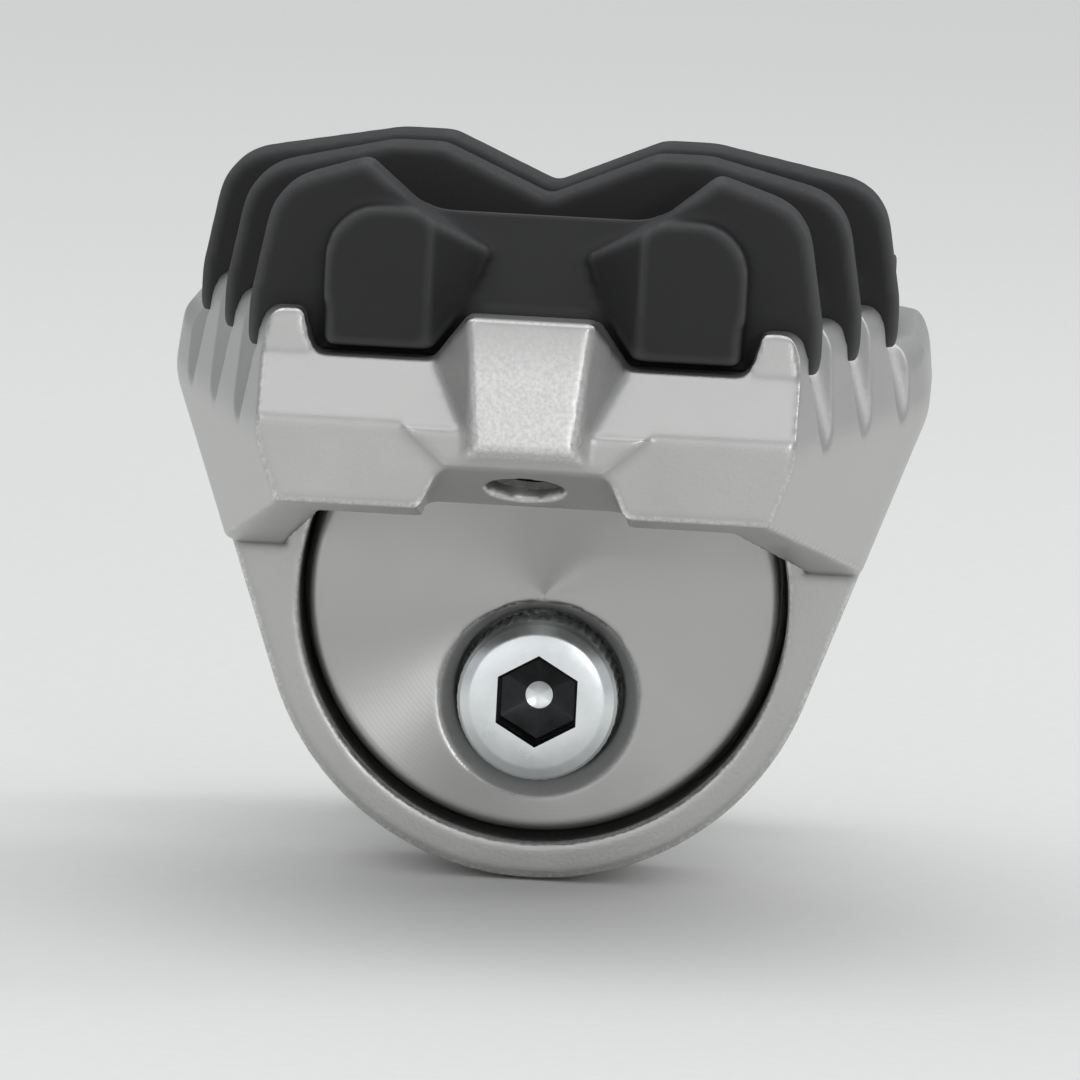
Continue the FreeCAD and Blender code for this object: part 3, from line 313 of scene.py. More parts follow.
shader.inputs["Anisotropic Rotation"].default_value = 0.25  # across the rings, not along them
around = add(tree, "Tangent", {"direction_type": "RADIAL", "axis": "Y"})
tree.links.new(around.outputs["Tangent"], shader.inputs["Tangent"])
print("finish:", turned_steel.name)

# %% [markdown]
# ## Milled steel
# The adapter behind the ring is milled from bar and left plain. The cutter leaves short marks along
# its feed, so a noise is squeezed across the feed and drawn out along it, and makes both the dull
# streaks and a slight bump.

# %% Milled steel
MARKS = 1.2  # marks of the cutter per millimetre, before they are drawn out
ALONG_FEED, ACROSS_FEED = 0.4, 2.5
milled_steel, tree, shader, millimetres = new_finish("milled_steel", "#b6b6b5", 1.0, 0.34)
feed = add(
    tree, "Mapping", {"Scale": (ALONG_FEED, ACROSS_FEED, ACROSS_FEED)}, {"Vector": millimetres}
)
marks = add(tree, "TexNoise", {"Scale": MARKS, "Detail": 4}, {"Vector": feed.outputs["Vector"]})
dull = add(tree, "MapRange", {"To Min": 0.28, "To Max": 0.42}, {"Value": marks.outputs["Fac"]})
tree.links.new(dull.outputs["Result"], shader.inputs["Roughness"])
bump = add(tree, "Bump", {"Strength": 0.15, "Distance": 0.03 * MM}, {"Height": marks.outputs["Fac"]})
tree.links.new(bump.outputs["Normal"], shader.inputs["Normal"])
print("finish:", milled_steel.name)

# %% [markdown]
# ## Reamed steel
# The recess round the clamp screw is reamed about another axis than the disc's and left dull, so
# the rings of the disc would be wrong there. Its colour is painted lighter than the disc's, as
# painted light against the shade round the screw head. Fine marks of the reamer vary the roughness.

# %% Reamed steel
CHATTER = 0.5  # millimetres between the marks of the reamer
# painted light: the recess's base colour is lighter than the disc's to lift the shade round the head
lightened_reamed_steel, tree, shader, millimetres = new_finish("lightened_reamed_steel", "#cfcfcd", 1.0, 0.6)
marks = add(tree, "TexNoise", {"Scale": 1 / CHATTER, "Detail": 3}, {"Vector": millimetres})
dull = add(tree, "MapRange", {"To Min": 0.52, "To Max": 0.7}, {"Value": marks.outputs["Fac"]})
tree.links.new(dull.outputs["Result"], shader.inputs["Roughness"])
print("finish:", lightened_reamed_steel.name)

# %% [markdown]
# ## Zinc plated steel
# Both bolts are zinc plated, which is pale, smooth and slightly blue, with faint patches where the
# bath ran off. One noise at the size of those patches drives tone, roughness and a slight bump.

# %% Zinc plated steel
PATCH = 1.5  # millimetres across a patch in the plating
zinc_steel, tree, shader, millimetres = new_finish("zinc_plated_steel", "#c3c8cb", 1.0, 0.28)
patches = add(
    tree, "TexNoise", {"Scale": 1 / PATCH, "Detail": 5, "Roughness": 0.6}, {"Vector": millimetres}
)
tone = add(
    tree, "Mix", {"data_type": "RGBA", "A": colour("#dbe0e2"), "B": colour("#f6f8f9")},
    {"Factor": patches.outputs["Fac"]},
)
tree.links.new(tone.outputs["Result"], shader.inputs["Base Color"])
dull = add(tree, "MapRange", {"To Min": 0.22, "To Max": 0.38}, {"Value": patches.outputs["Fac"]})
tree.links.new(dull.outputs["Result"], shader.inputs["Roughness"])
bump = add(tree, "Bump", {"Strength": 0.2, "Distance": 0.03 * MM}, {"Height": patches.outputs["Fac"]})
tree.links.new(bump.outputs["Normal"], shader.inputs["Normal"])
print("finish:", zinc_steel.name)

# %% [markdown]
# ## Painted shade in sockets
# Little light gets into a bolt's socket, so its walls are painted almost black, as painted shade.
# It is the same plating painted dark, darker still in spots of less than a millimetre.

# %% Painted shade in sockets
SOCKET_SHADE_SPOT = 0.7  # millimetres across a darker spot of the painted shade
# painted shade: the socket walls get a near-black base colour
socket_shade_zinc, tree, shader, millimetres = new_finish("socket_shade_zinc", "#3c3d3e", 1.0, 0.4)
shade_spots = add(tree, "TexNoise", {"Scale": 1 / SOCKET_SHADE_SPOT, "Detail": 4}, {"Vector": millimetres})
tone = add(
    tree, "Mix", {"data_type": "RGBA", "A": colour("#303132"), "B": colour("#4a4b4c")},
    {"Factor": shade_spots.outputs["Fac"]},
)
tree.links.new(tone.outputs["Result"], shader.inputs["Base Color"])
dull = add(tree, "MapRange", {"To Min": 0.3, "To Max": 0.5}, {"Value": shade_spots.outputs["Fac"]})
tree.links.new(dull.outputs["Result"], shader.inputs["Roughness"])
print("finish:", socket_shade_zinc.name)

# %% [markdown]
# ## Spring wire
# The spring is drawn wire, darker than the rest, because it keeps the thin scale of its heat
# treatment. A noise at the size of the scale's flecks varies tone and roughness.

# %% Drawn spring wire
SCALE_FLECK = 0.8  # millimetres across a fleck of scale
spring_wire, tree, shader, millimetres = new_finish("drawn_spring_wire", "#75797c", 1.0, 0.34)
flecks = add(tree, "TexNoise", {"Scale": 1 / SCALE_FLECK, "Detail": 4}, {"Vector": millimetres})
tone = add(
    tree, "Mix", {"data_type": "RGBA", "A": colour("#5f6366"), "B": colour("#868a8d")},
    {"Factor": flecks.outputs["Fac"]},
)
tree.links.new(tone.outputs["Result"], shader.inputs["Base Color"])
dull = add(tree, "MapRange", {"To Min": 0.28, "To Max": 0.45}, {"Value": flecks.outputs["Fac"]})
tree.links.new(dull.outputs["Result"], shader.inputs["Roughness"])
print("finish:", spring_wire.name)

# %% [markdown]
# ## Tapped steel
# The thread in the hole under the boss is cut, not cast. It is painted dark as painted shade
# inside the hole, in spots of about a millimetre, with some shine left on the flanks.

# %% Tapped steel
HOLE_SHADE_SPOT = 0.9  # millimetres across a darker spot of the painted shade
# painted shade: the thread inside the hole gets a dark base colour
shaded_tapped_steel, tree, shader, millimetres = new_finish("shaded_tapped_steel", "#5a5a58", 1.0, 0.3)
shade_spots = add(tree, "TexNoise", {"Scale": 1 / HOLE_SHADE_SPOT, "Detail": 4}, {"Vector": millimetres})
tone = add(
    tree, "Mix", {"data_type": "RGBA", "A": colour("#444442"), "B": colour("#72726f")},
    {"Factor": shade_spots.outputs["Fac"]},
)
tree.links.new(tone.outputs["Result"], shader.inputs["Base Color"])
dull = add(tree, "MapRange", {"To Min": 0.22, "To Max": 0.4}, {"Value": shade_spots.outputs["Fac"]})
tree.links.new(dull.outputs["Result"], shader.inputs["Roughness"])
print("finish:", shaded_tapped_steel.name)

# %% [markdown]
# ## Rubber
# The tread pad is moulded black rubber: matt, dark grey rather than black, with a fine leathery
# skin from the mould and a little dust. Boots rub the edges of the fins, which turn greyer there,
# and a painted highlight lightens them further; again an attribute of the mesh says where.

# %% Moulded rubber
SKIN = 0.35  # millimetres across one pebble of the moulded skin
DUST = 7  # millimetres across a dusty patch
rubber, tree, shader, millimetres = new_finish("moulded_rubber", "#242425", 0.0, 0.62)
pebbles = add(tree, "TexNoise", {"Scale": 1 / SKIN, "Detail": 3}, {"Vector": millimetres})
dust = add(
    tree, "TexNoise", {"Scale": 1 / DUST, "Detail": 6, "Roughness": 0.6}, {"Vector": millimetres}
)
edge = add(tree, "MapRange", {"From Min": 0.03, "From Max": 0.36}, {
    "Value": add(tree, "Attribute", {"attribute_name": "edge"}).outputs["Fac"],
})
tone = add(
    tree, "Mix", {"data_type": "RGBA", "A": colour("#1d1d1e"), "B": colour("#29292a")},
    {"Factor": dust.outputs["Fac"]},
)
# painted highlight: the fin edges are painted greyer, partly rubbing and partly a painted highlight
rubbed_and_highlit = add(
    tree, "Mix", {"data_type": "RGBA", "B": colour("#4b4b4c")},
    {"Factor": edge.outputs["Result"], "A": tone.outputs["Result"]},
)
tree.links.new(rubbed_and_highlit.outputs["Result"], shader.inputs["Base Color"])
dull = add(tree, "MapRange", {"To Min": 0.52, "To Max": 0.72}, {"Value": dust.outputs["Fac"]})
tree.links.new(dull.outputs["Result"], shader.inputs["Roughness"])
shader.inputs["Specular IOR Level"].default_value = 0.3
bump = add(tree, "Bump", {"Strength": 0.3, "Distance": 0.05 * MM}, {"Height": pebbles.outputs["Fac"]})
tree.links.new(bump.outputs["Normal"], shader.inputs["Normal"])
print("finish:", rubber.name)

# %% [markdown]
# ## From a bmesh to a piece
# Each piece is shaped as a bmesh in millimetres. One helper turns it into an object in metres that
# rides on a CAD body and stands for a CAD node, and another one starts a bmesh from such a node.

# %% Helpers for pieces
CRISP = math.radians(35)  # edges steeper than this stay sharp in shading, where a piece asks for it


def finish_piece(bm, name, body, slot, materials, *nodes, crisp=False):
    """A mesh object with its finishes, the body that it rides on and the nodes that it stands for."""
    bmesh.ops.scale(bm, vec=(MM, MM, MM), verts=bm.verts)
    mesh = bpy.data.meshes.new(name)
    bm.to_mesh(mesh)
    bm.free()
    piece = bpy.data.objects.new(name, mesh)
    bpy.context.scene.collection.objects.link(piece)
    for material in materials:
        mesh.materials.append(material)
    mesh.shade_smooth()
    if crisp:
        mesh.set_sharp_from_angle(angle=CRISP)
    if body:
        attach(piece, body)
    if nodes:
        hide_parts(*nodes)
    print(f"{name}: {len(mesh.polygons)} faces")
    return piece


def cad_copy(node):
    """A bmesh of a CAD node in millimetres, with its loose triangles merged."""
    bm = bmesh.new()
    bm.from_mesh(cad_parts[node].data)
    bmesh.ops.scale(bm, vec=(1 / MM, 1 / MM, 1 / MM), verts=bm.verts)
    bmesh.ops.remove_doubles(bm, verts=bm.verts, dist=0.001)
    return bm


print("helpers:", finish_piece.__name__, cad_copy.__name__)

# %% [markdown]
# ## Soft edges
# A casting or a moulding has no sharp edge. The body is covered by an even net of small faces, and
# a few rounds of smoothing soften every edge by the same amount. How far a point sank on the way
# is kept as the attribute that the finishes read: on a flat it is nothing, on an edge it is a
# share of the net. It is averaged with its neighbours, so that a rubbed edge with its painted
# highlight isn't beaded. After that the flat stretches need far fewer faces, so the net is thinned
# out.

# %% Helpers for soft edges
EVEN_OUT = 2  # how often the attribute is averaged


def modified(bm, kind, **settings):
    """The same body after one modifier, which is applied at once."""
    mesh = bpy.data.meshes.new("raw")
    bm.to_mesh(mesh)
    bm.free()
    raw = bpy.data.objects.new("raw", mesh)
    bpy.context.scene.collection.objects.link(raw)
    modifier = raw.modifiers.new(kind.lower(), kind)
    for name, value in settings.items():
        setattr(modifier, name, value)
    view = bpy.context.evaluated_depsgraph_get()
    done = bpy.data.meshes.new_from_object(raw.evaluated_get(view))
    bpy.data.objects.remove(raw)
    bm = bmesh.new()
    bm.from_mesh(done)
    bpy.data.meshes.remove(done)
    return bm


def softened(bm, net, rounds, keep=1.0, dress=None):
    """The same body with soft edges, on a net of that many millimetres of which a share is kept.

    Before the smoothing, dress may move the points of the net.
    """
    bm = modified(bm, "REMESH", mode="VOXEL", voxel_size=net)
    if dress:
        for vert in bm.verts:
            dress(vert)
    edge = bm.verts.layers.float.new("edge")
    sharp = [vert.co.copy() for vert in bm.verts]
    for _ in range(rounds):
        bmesh.ops.smooth_vert(
            bm, verts=bm.verts, factor=0.5, use_axis_x=True, use_axis_y=True, use_axis_z=True
        )
    bm.normal_update()
    for vert, before in zip(bm.verts, sharp):
        vert[edge] = max(0, (before - vert.co).dot(vert.normal) / net)
    for _ in range(EVEN_OUT):
        nearby = [[link.other_vert(vert)[edge] for link in vert.link_edges] for vert in bm.verts]
        for vert, others in zip(bm.verts, nearby):
            vert[edge] = (vert[edge] + sum(others) / len(others)) / 2
    if keep < 1:
        bm = modified(bm, "DECIMATE", ratio=keep)
    return bm


print("helpers:", modified.__name__, softened.__name__)

# %% [markdown]
# ## Teeth
# On the casting the outer corners of the teeth are round, and so is the rim behind them. A bevel
# of the CAD edges would run into the scallops between the teeth, so points of the net are pulled
# in instead, each to a quarter of an ellipse that stands on the leaning flank. Close to the front
# face the pull fades out, because the corners of that face are sharper.

# %% Helpers for the teeth
FRONT_FACE = 95.0  # outboard distance of the two lower panels
TEETH_TOP, RIM_TOP = 35.0, 31.6
TEETH_END = 55.0  # outboard distance of the last gap, behind which the rim starts
CORNER_WIDE, CORNER_HIGH = 1.8, 4.5  # the round corner, across and down
FLANK_AT, FLANK_HALF, TAPER = 90, 21.47, 0.198  # half width there, and its gain per mm inboard
FULL_HALF = 30.18
LEAN, RIDGE = 0.114, 26.2  # how far a flank leans in per mm above its ridge, and the ridge's height
FADE_FROM, FADE_TO = FRONT_FACE - 0.5, FRONT_FACE - 4


def share(value, start, stop):
    """How far a value is on the way from start to stop, from 0 to 1."""
    return min(1, max(0, (value - start) / (stop - start)))


def round_teeth(vert):
    """Pulls a point in, where it lies outside the round upper corner of the flank."""
    outboard = -vert.co.y
    foot = (TEETH_TOP if outboard > TEETH_END else RIM_TOP) - CORNER_HIGH
    flank = min(FLANK_HALF + TAPER * (FLANK_AT - outboard), FULL_HALF) - LEAN * (foot - RIDGE)
    out = (abs(vert.co.x) - flank) / CORNER_WIDE + 1
    up = (vert.co.z - foot) / CORNER_HIGH
    if out > 0 and up > 0 and math.hypot(out, up) > 1:
        pull = (1 - 1 / math.hypot(out, up)) * share(outboard, FADE_FROM, FADE_TO)
        vert.co.x -= math.copysign(CORNER_WIDE * out * pull, vert.co.x)
        vert.co.z -= CORNER_HIGH * up * pull


print(f"corners of the teeth: {CORNER_WIDE} mm across, {CORNER_HIGH} mm down")

# %% [markdown]
# ## Prisms
# The boss stands on a low pad, and each rubber lobe has a foot that fills its notch. Both are
# four-sided prisms that point outboard. A cube would have to be sheared to fit, so a prism starts
# as a capped circle of four points, which are moved to its corners, and is then extruded.

# %% Helper for prisms
def extruded(bm, corners, start, stop):
    """Extrudes a face with (across, height) corners between two outboard distances.

    Gives the points of its far side.
    """
    loop = bmesh.ops.create_circle(bm, segments=len(corners), radius=1, cap_ends=True)["verts"]
    for vert, (across, level) in zip(loop, corners):
        vert.co = (across, -start, level)
    face = loop[0].link_faces[:]
    made = bmesh.ops.extrude_face_region(bm, geom=face, use_keep_orig=True)["geom"]
    far = [g for g in made if isinstance(g, bmesh.types.BMVert)]
    bmesh.ops.translate(bm, vec=(0, start - stop, 0), verts=far)
    bmesh.ops.recalc_face_normals(bm, faces=list({f for v in loop + far for f in v.link_faces}))
    return far


print("helper:", extruded.__name__)

# %% [markdown]
# ## Platform
# The CAD body of the platform has the right shape but knife-sharp edges. Its net is fine enough to
# keep the teeth, and three rounds of smoothing round the edges by about a third of a millimetre.
# Two small forms of the front face are added here. The pad of the boss is a prism that narrows
# towards the chin and ends a little past the front face. The sides of the chin lean apart, so the
# points of the net next to it slide outwards, the more the lower they are. The hole in the chin is
# opened up for the thread that comes later.

# %% Platform
LIP, PANEL_LOW, PANEL_TOP = 23.7, 20.5, 27.0  # heights of the chin's lip and of the panels' edges
CHIN_HALF, CHIN_LEAN = 6.4, 1.4  # half width of the chin at its lip, and its gain on the way down
CHIN_BACK = FRONT_FACE - 15
SLIDE_IN, SLIDE_FULL, SLIDE_OUT = CHIN_HALF - 2, CHIN_HALF + 1, CHIN_HALF + 5
PAD_HALF, PAD_ROOT, PAD_PROUD, PAD_BEVEL = 9.45, 2, 0.5, 0.3
BOSS_PAD = ((PAD_HALF, PANEL_TOP), (-PAD_HALF, PANEL_TOP), (-CHIN_HALF, LIP), (CHIN_HALF, LIP))
HOLE_MOUTH, HOLE_DEEP = Vector((0, -90.4, 21.84)), 7.0
INTO_HOLE = Vector((0, 0.374607, 0.927184))
HOLE_FROM, HOLE_TO = -1, HOLE_DEEP + 0.5  # the stretch of the hole that is opened up
CORE, ROOT = 2.5, 3.0  # radii of the hole at the crests and at the roots of its thread
OPEN_ALL, OPEN_NONE = CORE + 0.1, ROOT + 0.4  # radii up to which points move fully or not at all

bm = cad_copy("peg_frame")
for vert in extruded(bm, BOSS_PAD, FRONT_FACE - PAD_ROOT, FRONT_FACE + PAD_PROUD):
    vert.co.x -= math.copysign(PAD_BEVEL, vert.co.x)
    vert.co.z -= math.copysign(PAD_BEVEL, vert.co.z - (LIP + PANEL_TOP) / 2)
bm = softened(bm, net=0.3, rounds=3, keep=0.4, dress=round_teeth)
for vert in bm.verts:
    across, outboard, level = abs(vert.co.x), -vert.co.y, vert.co.z
    if outboard > CHIN_BACK:
        beside = share(across, SLIDE_IN, CHIN_HALF) * share(across, SLIDE_OUT, SLIDE_FULL)
        vert.co.x += math.copysign(CHIN_LEAN * beside * share(level, LIP, PANEL_LOW), vert.co.x)
    deep = (vert.co - HOLE_MOUTH).dot(INTO_HOLE)
    from_axis = vert.co - HOLE_MOUTH - deep * INTO_HOLE
    if HOLE_FROM < deep < HOLE_TO:
        vert.co += from_axis * (ROOT / CORE - 1) * share(from_axis.length, OPEN_NONE, OPEN_ALL)
finish_piece(bm, "cast_platform", "peg", "cast_steel", [cast_steel], "peg_frame")

# %% [markdown]
# ## Rubber pad
# The moulded pad gets softer edges the same way. Before that, each lobe is filled out at its foot,
# where the rubber follows the leaning side of the notch, by two prisms: one is flush with the lobe,
# and the far side of the other is slanted like the cheek above it.

# %% Rubber pad
LOBE_FACE, LOBE_FRONT = 8.0, 91.2  # where the flat face of a lobe starts, and its outboard distance
LOBE_INSIDE = LOBE_FACE + 0.6  # how far the foot reaches into the lobe
TOE_LOW, TOE_HIGH = 7.67, 4.77  # where the leaning side of the notch is, at the foot's two heights
FOOT_BACK = 87.0
FOOT_LOW, FOOT_HIGH = 32.2, 36.2
FLUSH_FOOT = (
    (LOBE_FACE, FOOT_LOW), (LOBE_INSIDE, FOOT_LOW), (LOBE_INSIDE, FOOT_HIGH), (LOBE_FACE, FOOT_HIGH)
)
SLANTED_FOOT = (
    (TOE_LOW, FOOT_LOW), (LOBE_FACE, FOOT_LOW), (LOBE_FACE, FOOT_HIGH), (TOE_HIGH, FOOT_HIGH)
)
bm = cad_copy("rubber_pad")
for side in (1, -1):
    for foot in (FLUSH_FOOT, SLANTED_FOOT):
        corners = [(side * across, level) for across, level in foot]
        for vert in extruded(bm, corners, FOOT_BACK, LOBE_FRONT):
            vert.co.y += max(0, LOBE_FACE - abs(vert.co.x))
bm = softened(bm, net=0.4, rounds=6, keep=0.6)
finish_piece(bm, "tread_pad", "peg", "rubber", [rubber], "rubber_pad")

# %% [markdown]
# ## Clamp disc
# The disc is a lathe part with a lightly hollowed face. Its copy gets the same net, finer because
# the disc is smaller. The flared recess round the screw was cut about another axis, so its
# faces take the dull reamed finish instead of the rings, painted lighter as painted light.

# %% Clamp disc
SCREW_ROOM = 9.0  # millimetres round the screw's axis in which steep faces belong to its recess
STEEP = 0.96  # a face whose normal has less than this share along the screw is steep
bm = softened(cad_copy("clamp_disc"), net=0.22, rounds=2)
for face in bm.faces:
    middle = face.calc_center_median()
    beside_screw = math.hypot(middle.x, middle.z) < SCREW_ROOM
    face.material_index = int(beside_screw and abs(face.normal.y) < STEEP)
finish_piece(bm, "turned_disc", "peg", "turned_steel", [turned_steel, lightened_reamed_steel], "clamp_disc")

# %% [markdown]
# ## Adapter
# The adapter behind the ring is milled from bar. It gets the same net, which breaks its edges
# as a file or a deburring wheel does.

# %% Adapter
bm = softened(cad_copy("hinge_adapter"), net=0.3, rounds=2, keep=0.5)
finish_piece(bm, "milled_adapter", "peg", "turned_steel", [milled_steel], "hinge_adapter")

# %% [markdown]
# ## Socket heads
# Both bolts have a round head with a hex socket. A head starts as a circle that is extruded ring
# by ring along the bolt. The socket starts as a hexagon whose sides are divided until it has as
# many points as the circle, so a bridge closes the flat ring between them cleanly. The drill
# that started the socket leaves a small cone at its bottom, which stays bright.

# %% Helpers for bolts
AROUND = 96  # points round a bolt, a multiple of six so that the hexagon matches
HEX_KEY = 6.0
SOCKET_CHAMFER = 0.25
SOCKET_ROOM = 3.7  # radius within which a face belongs to the socket
MOUTH_DEPTH = 0.1  # depth below the top of the head at which the painted shade inside starts
DRILL_RADIUS, DRILL_DEEP = 1.1, 0.8
POINT_RADIUS, POINT_DEEP = 0.2, 0.95


def ring_on(bm, edges, radius, was_radius, rise):
    """Extrudes a loop of edges along Z and scales the new loop from one radius to another."""
    made = bmesh.ops.extrude_edge_only(bm, edges=edges)["geom"]
    verts = [g for g in made if isinstance(g, bmesh.types.BMVert)]
    bmesh.ops.scale(bm, vec=(radius / was_radius, radius / was_radius, 1), verts=verts)
    bmesh.ops.translate(bm, vec=(0, 0, rise), verts=verts)
    return [g for g in made if isinstance(g, bmesh.types.BMEdge) and all(v in verts for v in g.verts)]


def lathe(bm, section):
    """Rings through (radius, height) pairs; gives the first and the last loop of edges."""
    radius, height = section[0]
    loop = bmesh.ops.create_circle(bm, segments=AROUND, radius=radius)["verts"]
    bmesh.ops.translate(bm, vec=(0, 0, height), verts=loop)
    first = last = list({e for v in loop for e in v.link_edges})
    for next_radius, next_height in section[1:]:
        last = ring_on(bm, last, next_radius, radius, next_height - height)
        radius, height = next_radius, next_height
    return first, last


def cut_socket(bm, rim, top, deep):
    """Bridges the head's rim to a hexagon and sinks that into a socket with a drilled floor."""
    corner = HEX_KEY / math.sqrt(3)
    flared = corner + SOCKET_CHAMFER
    loop = bmesh.ops.create_circle(bm, segments=6, radius=flared)["verts"]
    bmesh.ops.translate(bm, vec=(0, 0, top), verts=loop)
    sides = list({e for v in loop for e in v.link_edges})
    split = bmesh.ops.subdivide_edges(bm, edges=sides, cuts=AROUND // 6 - 1)["geom_split"]
    mouth = [g for g in split if isinstance(g, bmesh.types.BMEdge)]
    bmesh.ops.bridge_loops(bm, edges=rim + mouth)
    below = ring_on(bm, mouth, corner, flared, -SOCKET_CHAMFER)
    floor_edge = ring_on(bm, below, corner, corner, SOCKET_CHAMFER - deep)
    drilled, point = lathe(bm, [
        (DRILL_RADIUS, top - deep - DRILL_DEEP), (POINT_RADIUS, top - deep - POINT_DEEP),
    ])
    bmesh.ops.bridge_loops(bm, edges=floor_edge + drilled)
    bmesh.ops.edgeloop_fill(bm, edges=point)


def dark_inside(bm, top):
    """The walls of a socket take the second finish, a painted shade. The drilled spot at its bottom
    stays bright.
    """
    for face in bm.faces:
        middle = face.calc_center_median()
        across = math.hypot(middle.x, middle.y)
        on_wall = DRILL_RADIUS < across < SOCKET_ROOM
        face.material_index = int(on_wall and middle.z < top - MOUTH_DEPTH)


print("points round a bolt:", AROUND)

# %% [markdown]
# ## Clamp screw
# The screw is drawn upright with its head on top, then laid down so that the head points outboard.
# Every second point round the head moves in a little, which makes the knurled grip.

# %% Clamp screw
SHANK_END, SEAT, HEAD_TOP = 12.4, 34.4, 42.4
SHANK, HEAD = 4.0, 6.5
SCREW_SOCKET = 4.2
KNURL = 0.968  # share of its radius that a groove of the knurl keeps
bm = bmesh.new()
first, rim = lathe(bm, [
    (SHANK - 1, SHANK_END), (SHANK, SHANK_END + 1), (SHANK, SEAT), (HEAD - 0.25, SEAT),
    (HEAD, SEAT + 0.3), (HEAD, HEAD_TOP - 1.5), (HEAD - 0.05, HEAD_TOP - 1.3),
    (HEAD - 0.3, HEAD_TOP - 0.5), (HEAD - 0.9, HEAD_TOP - 0.1), (HEAD - 1.2, HEAD_TOP),
])
bmesh.ops.edgeloop_fill(bm, edges=first)
cut_socket(bm, rim, HEAD_TOP, SCREW_SOCKET)
bmesh.ops.recalc_face_normals(bm, faces=bm.faces)
dark_inside(bm, HEAD_TOP)
for vert in bm.verts:
    step = round(math.atan2(vert.co.y, vert.co.x) / (2 * math.pi) * AROUND)
    on_grip = abs(math.hypot(vert.co.x, vert.co.y) - HEAD) < 0.02
    if on_grip and step % 2:
        vert.co.x, vert.co.y = vert.co.x * KNURL, vert.co.y * KNURL
bmesh.ops.rotate(bm, verts=bm.verts, matrix=Matrix.Rotation(math.radians(90), 3, "X"))
finish_piece(
    bm, "cap_screw", "peg", "screw_steel", [zinc_steel, socket_shade_zinc], "clamp_screw", crisp=True
)

# %% [markdown]
# ## Threads
# A thread is one zigzag of a pitch's length that is spun round the axis while it moves along, so
# that each turn ends where the next one starts. Merging the doubles then closes the seam.

# %% Helper for threads
STEPS_A_TURN = 32
SEAM = 0.004  # millimetres within which points of neighbouring turns are merged


def spin_thread(bm, zigzag, pitch, turns):
    """Spins (radius, height) pairs round Z while they climb by one pitch in each turn."""
    points = [bm.verts.new((radius, 0, height)) for radius, height in zigzag]
    flanks = [bm.edges.new(pair) for pair in zip(points, points[1:])]
    bmesh.ops.spin(
        bm, geom=points + flanks, cent=(0, 0, 0), axis=(0, 0, 1), dvec=(0, 0, pitch / STEPS_A_TURN),
        angle=2 * math.pi * turns, steps=STEPS_A_TURN * turns, use_merge=False, use_duplicate=False,
    )


print("steps in a turn of thread:", STEPS_A_TURN)

# %% [markdown]
# ## Pivot bolt
# The hinge pin is a shoulder bolt: a low head, a ground shoulder that the peg turns on, and a
# thread for the nut. Head and shoulder come off the lathe helper, and a thin core with a pointed
# end fills the thread. The bolt is drawn upright and then laid along the hinge.

# %% Pivot bolt
PIN, PIVOT_HEAD, PIVOT_SOCKET = 5.0, 7.5, 2.6
HEAD_END, HEAD_SEAT, STEP, BOLT_END = -18.9, -14.9, 10.4, 19.9
THREAD, PITCH, TURNS = 4.0, 1.25, 7
THREAD_ROOT, THREAD_CREST = THREAD - 0.7, THREAD - 0.05
bm = bmesh.new()
rim = lathe(bm, [
    (THREAD - 0.75, STEP), (PIN - 0.4, STEP), (PIN, STEP - 0.4), (PIN, HEAD_SEAT),
    (PIVOT_HEAD - 0.3, HEAD_SEAT), (PIVOT_HEAD, HEAD_SEAT - 0.3), (PIVOT_HEAD, HEAD_END + 0.8),
    (PIVOT_HEAD - 0.2, HEAD_END + 0.3), (PIVOT_HEAD - 0.8, HEAD_END),
])[1]
bmesh.ops.scale(bm, vec=(1, 1, -1), verts=bm.verts)
cut_socket(bm, rim, -HEAD_END, PIVOT_SOCKET)
bmesh.ops.recalc_face_normals(bm, faces=bm.faces)
dark_inside(bm, -HEAD_END)
for face in bm.faces:  # below the head there is no socket, so those faces stay bright
    if face.calc_center_median().z < -HEAD_SEAT:
        face.material_index = 0
bmesh.ops.scale(bm, vec=(1, 1, -1), verts=bm.verts)
spin_thread(bm, [
    (THREAD_ROOT, STEP), (THREAD_CREST, STEP + PITCH * 0.42),
    (THREAD_CREST, STEP + PITCH * 0.58), (THREAD_ROOT, STEP + PITCH),
], PITCH, TURNS)
tip = lathe(bm, [(THREAD_ROOT, STEP), (THREAD_ROOT, BOLT_END - 0.4), (THREAD - 1.2, BOLT_END)])[1]
bmesh.ops.edgeloop_fill(bm, edges=tip)
bmesh.ops.remove_doubles(bm, verts=bm.verts, dist=SEAM)
bmesh.ops.recalc_face_normals(bm, faces=bm.faces)
bmesh.ops.rotate(bm, verts=bm.verts, matrix=Matrix.Rotation(math.radians(90), 3, "Y"))
finish_piece(
    bm, "shoulder_bolt", "pivot", "screw_steel", [zinc_steel, socket_shade_zinc], "pivot_bolt", crisp=True
)

# %% [markdown]
# ## Tapped hole
# The hole under the boss takes a bolt that touches the ground first in a steep lean. Its thread is
# made like that of the pivot bolt, turned inside out, and gets a wall that reaches into the
# casting, so that no gap shows behind it.

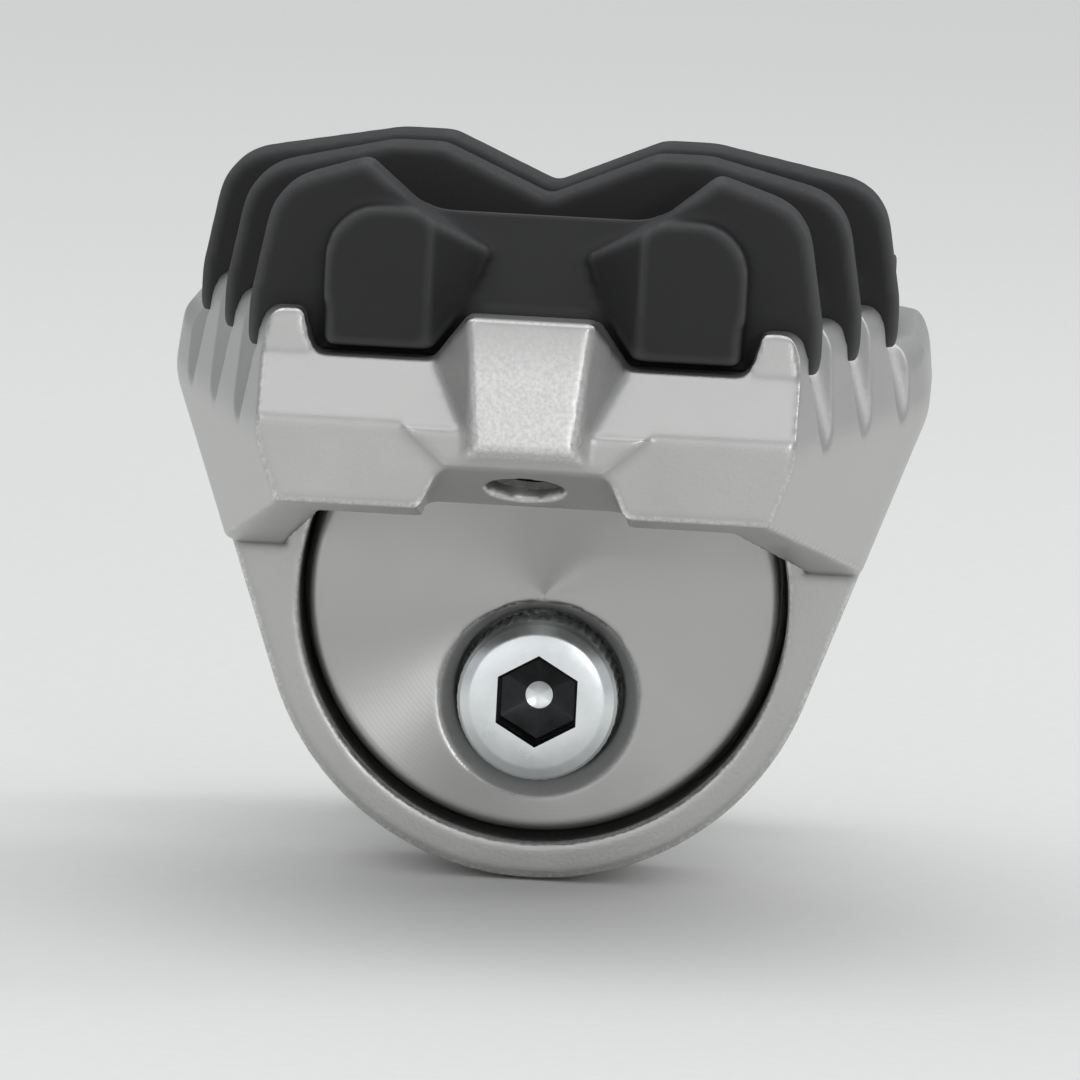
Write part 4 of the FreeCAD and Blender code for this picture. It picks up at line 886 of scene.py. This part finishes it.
# %% Tapped hole
HOLE_PITCH, HOLE_TURNS, THREAD_WALL, THREAD_IN = 1.0, 6, 0.4, 0.3
bm = bmesh.new()
spin_thread(bm, [
    (ROOT, THREAD_IN), (CORE, THREAD_IN + 0.44 * HOLE_PITCH),
    (CORE, THREAD_IN + 0.56 * HOLE_PITCH), (ROOT, THREAD_IN + HOLE_PITCH),
], HOLE_PITCH, HOLE_TURNS)
bmesh.ops.remove_doubles(bm, verts=bm.verts, dist=SEAM)
bmesh.ops.recalc_face_normals(bm, faces=bm.faces)
if sum(face.normal.dot(face.calc_center_median() * Vector((1, 1, 0))) for face in bm.faces) > 0:
    bmesh.ops.reverse_faces(bm, faces=bm.faces)
bmesh.ops.solidify(bm, geom=bm.faces[:], thickness=THREAD_WALL)
bmesh.ops.recalc_face_normals(bm, faces=bm.faces)
radii = [math.hypot(vert.co.x, vert.co.y) for vert in bm.verts]
print(f"thread from radius {min(radii):.2f} to {max(radii):.2f} mm")
bmesh.ops.rotate(bm, verts=bm.verts, matrix=INTO_HOLE.to_track_quat("Z", "Y").to_matrix())
bmesh.ops.translate(bm, verts=bm.verts, vec=HOLE_MOUTH)
finish_piece(bm, "tapped_thread", "peg", "cast_steel", [shaded_tapped_steel], crisp=True)

# %% [markdown]
# ## Return spring
# The torsion spring is round wire: a circle spun about the pin while it moves along it makes the
# coil, and its two open ends are extruded into straight legs. One leg lies on the adapter and
# the other on the bracket, so the coil winds up as the peg folds.

# %% Return spring
WIRE, WIRE_POINTS = 1.0, 16
COIL, COIL_TURNS, COIL_RISE, COIL_FROM = 6.7, 3, 2.25, 2.0
COIL_STEPS = 40  # steps in a turn
BRACKET_LEG, ADAPTER_LEG = 17.0, -19.0
bm = bmesh.new()
loop = bmesh.ops.create_circle(bm, segments=WIRE_POINTS, radius=WIRE)["verts"]
bmesh.ops.rotate(bm, verts=loop, matrix=Matrix.Rotation(math.radians(90), 3, "X"))
bmesh.ops.translate(bm, vec=(COIL_FROM, 0, COIL), verts=loop)
start_edges = list({e for v in loop for e in v.link_edges})
spun = bmesh.ops.spin(
    bm, geom=loop + start_edges, cent=(0, 0, 0), axis=(1, 0, 0), dvec=(COIL_RISE / COIL_STEPS, 0, 0),
    angle=2 * math.pi * COIL_TURNS, steps=COIL_STEPS * COIL_TURNS, use_merge=False, use_duplicate=False,
)["geom_last"]
end_edges = [g for g in spun if isinstance(g, bmesh.types.BMEdge)]
for edges, leg in ((start_edges, BRACKET_LEG), (end_edges, ADAPTER_LEG)):
    made = bmesh.ops.extrude_edge_only(bm, edges=edges)["geom"]
    ends = [g for g in made if isinstance(g, bmesh.types.BMVert)]
    bmesh.ops.translate(bm, vec=(0, leg, 0), verts=ends)
    cap = [g for g in made if isinstance(g, bmesh.types.BMEdge) and all(v in ends for v in g.verts)]
    bmesh.ops.edgeloop_fill(bm, edges=cap)
bmesh.ops.recalc_face_normals(bm, faces=bm.faces)
spring = finish_piece(
    bm, "torsion_spring", None, "spring_steel", [spring_wire], "return_spring", crisp=True
)
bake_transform(spring)
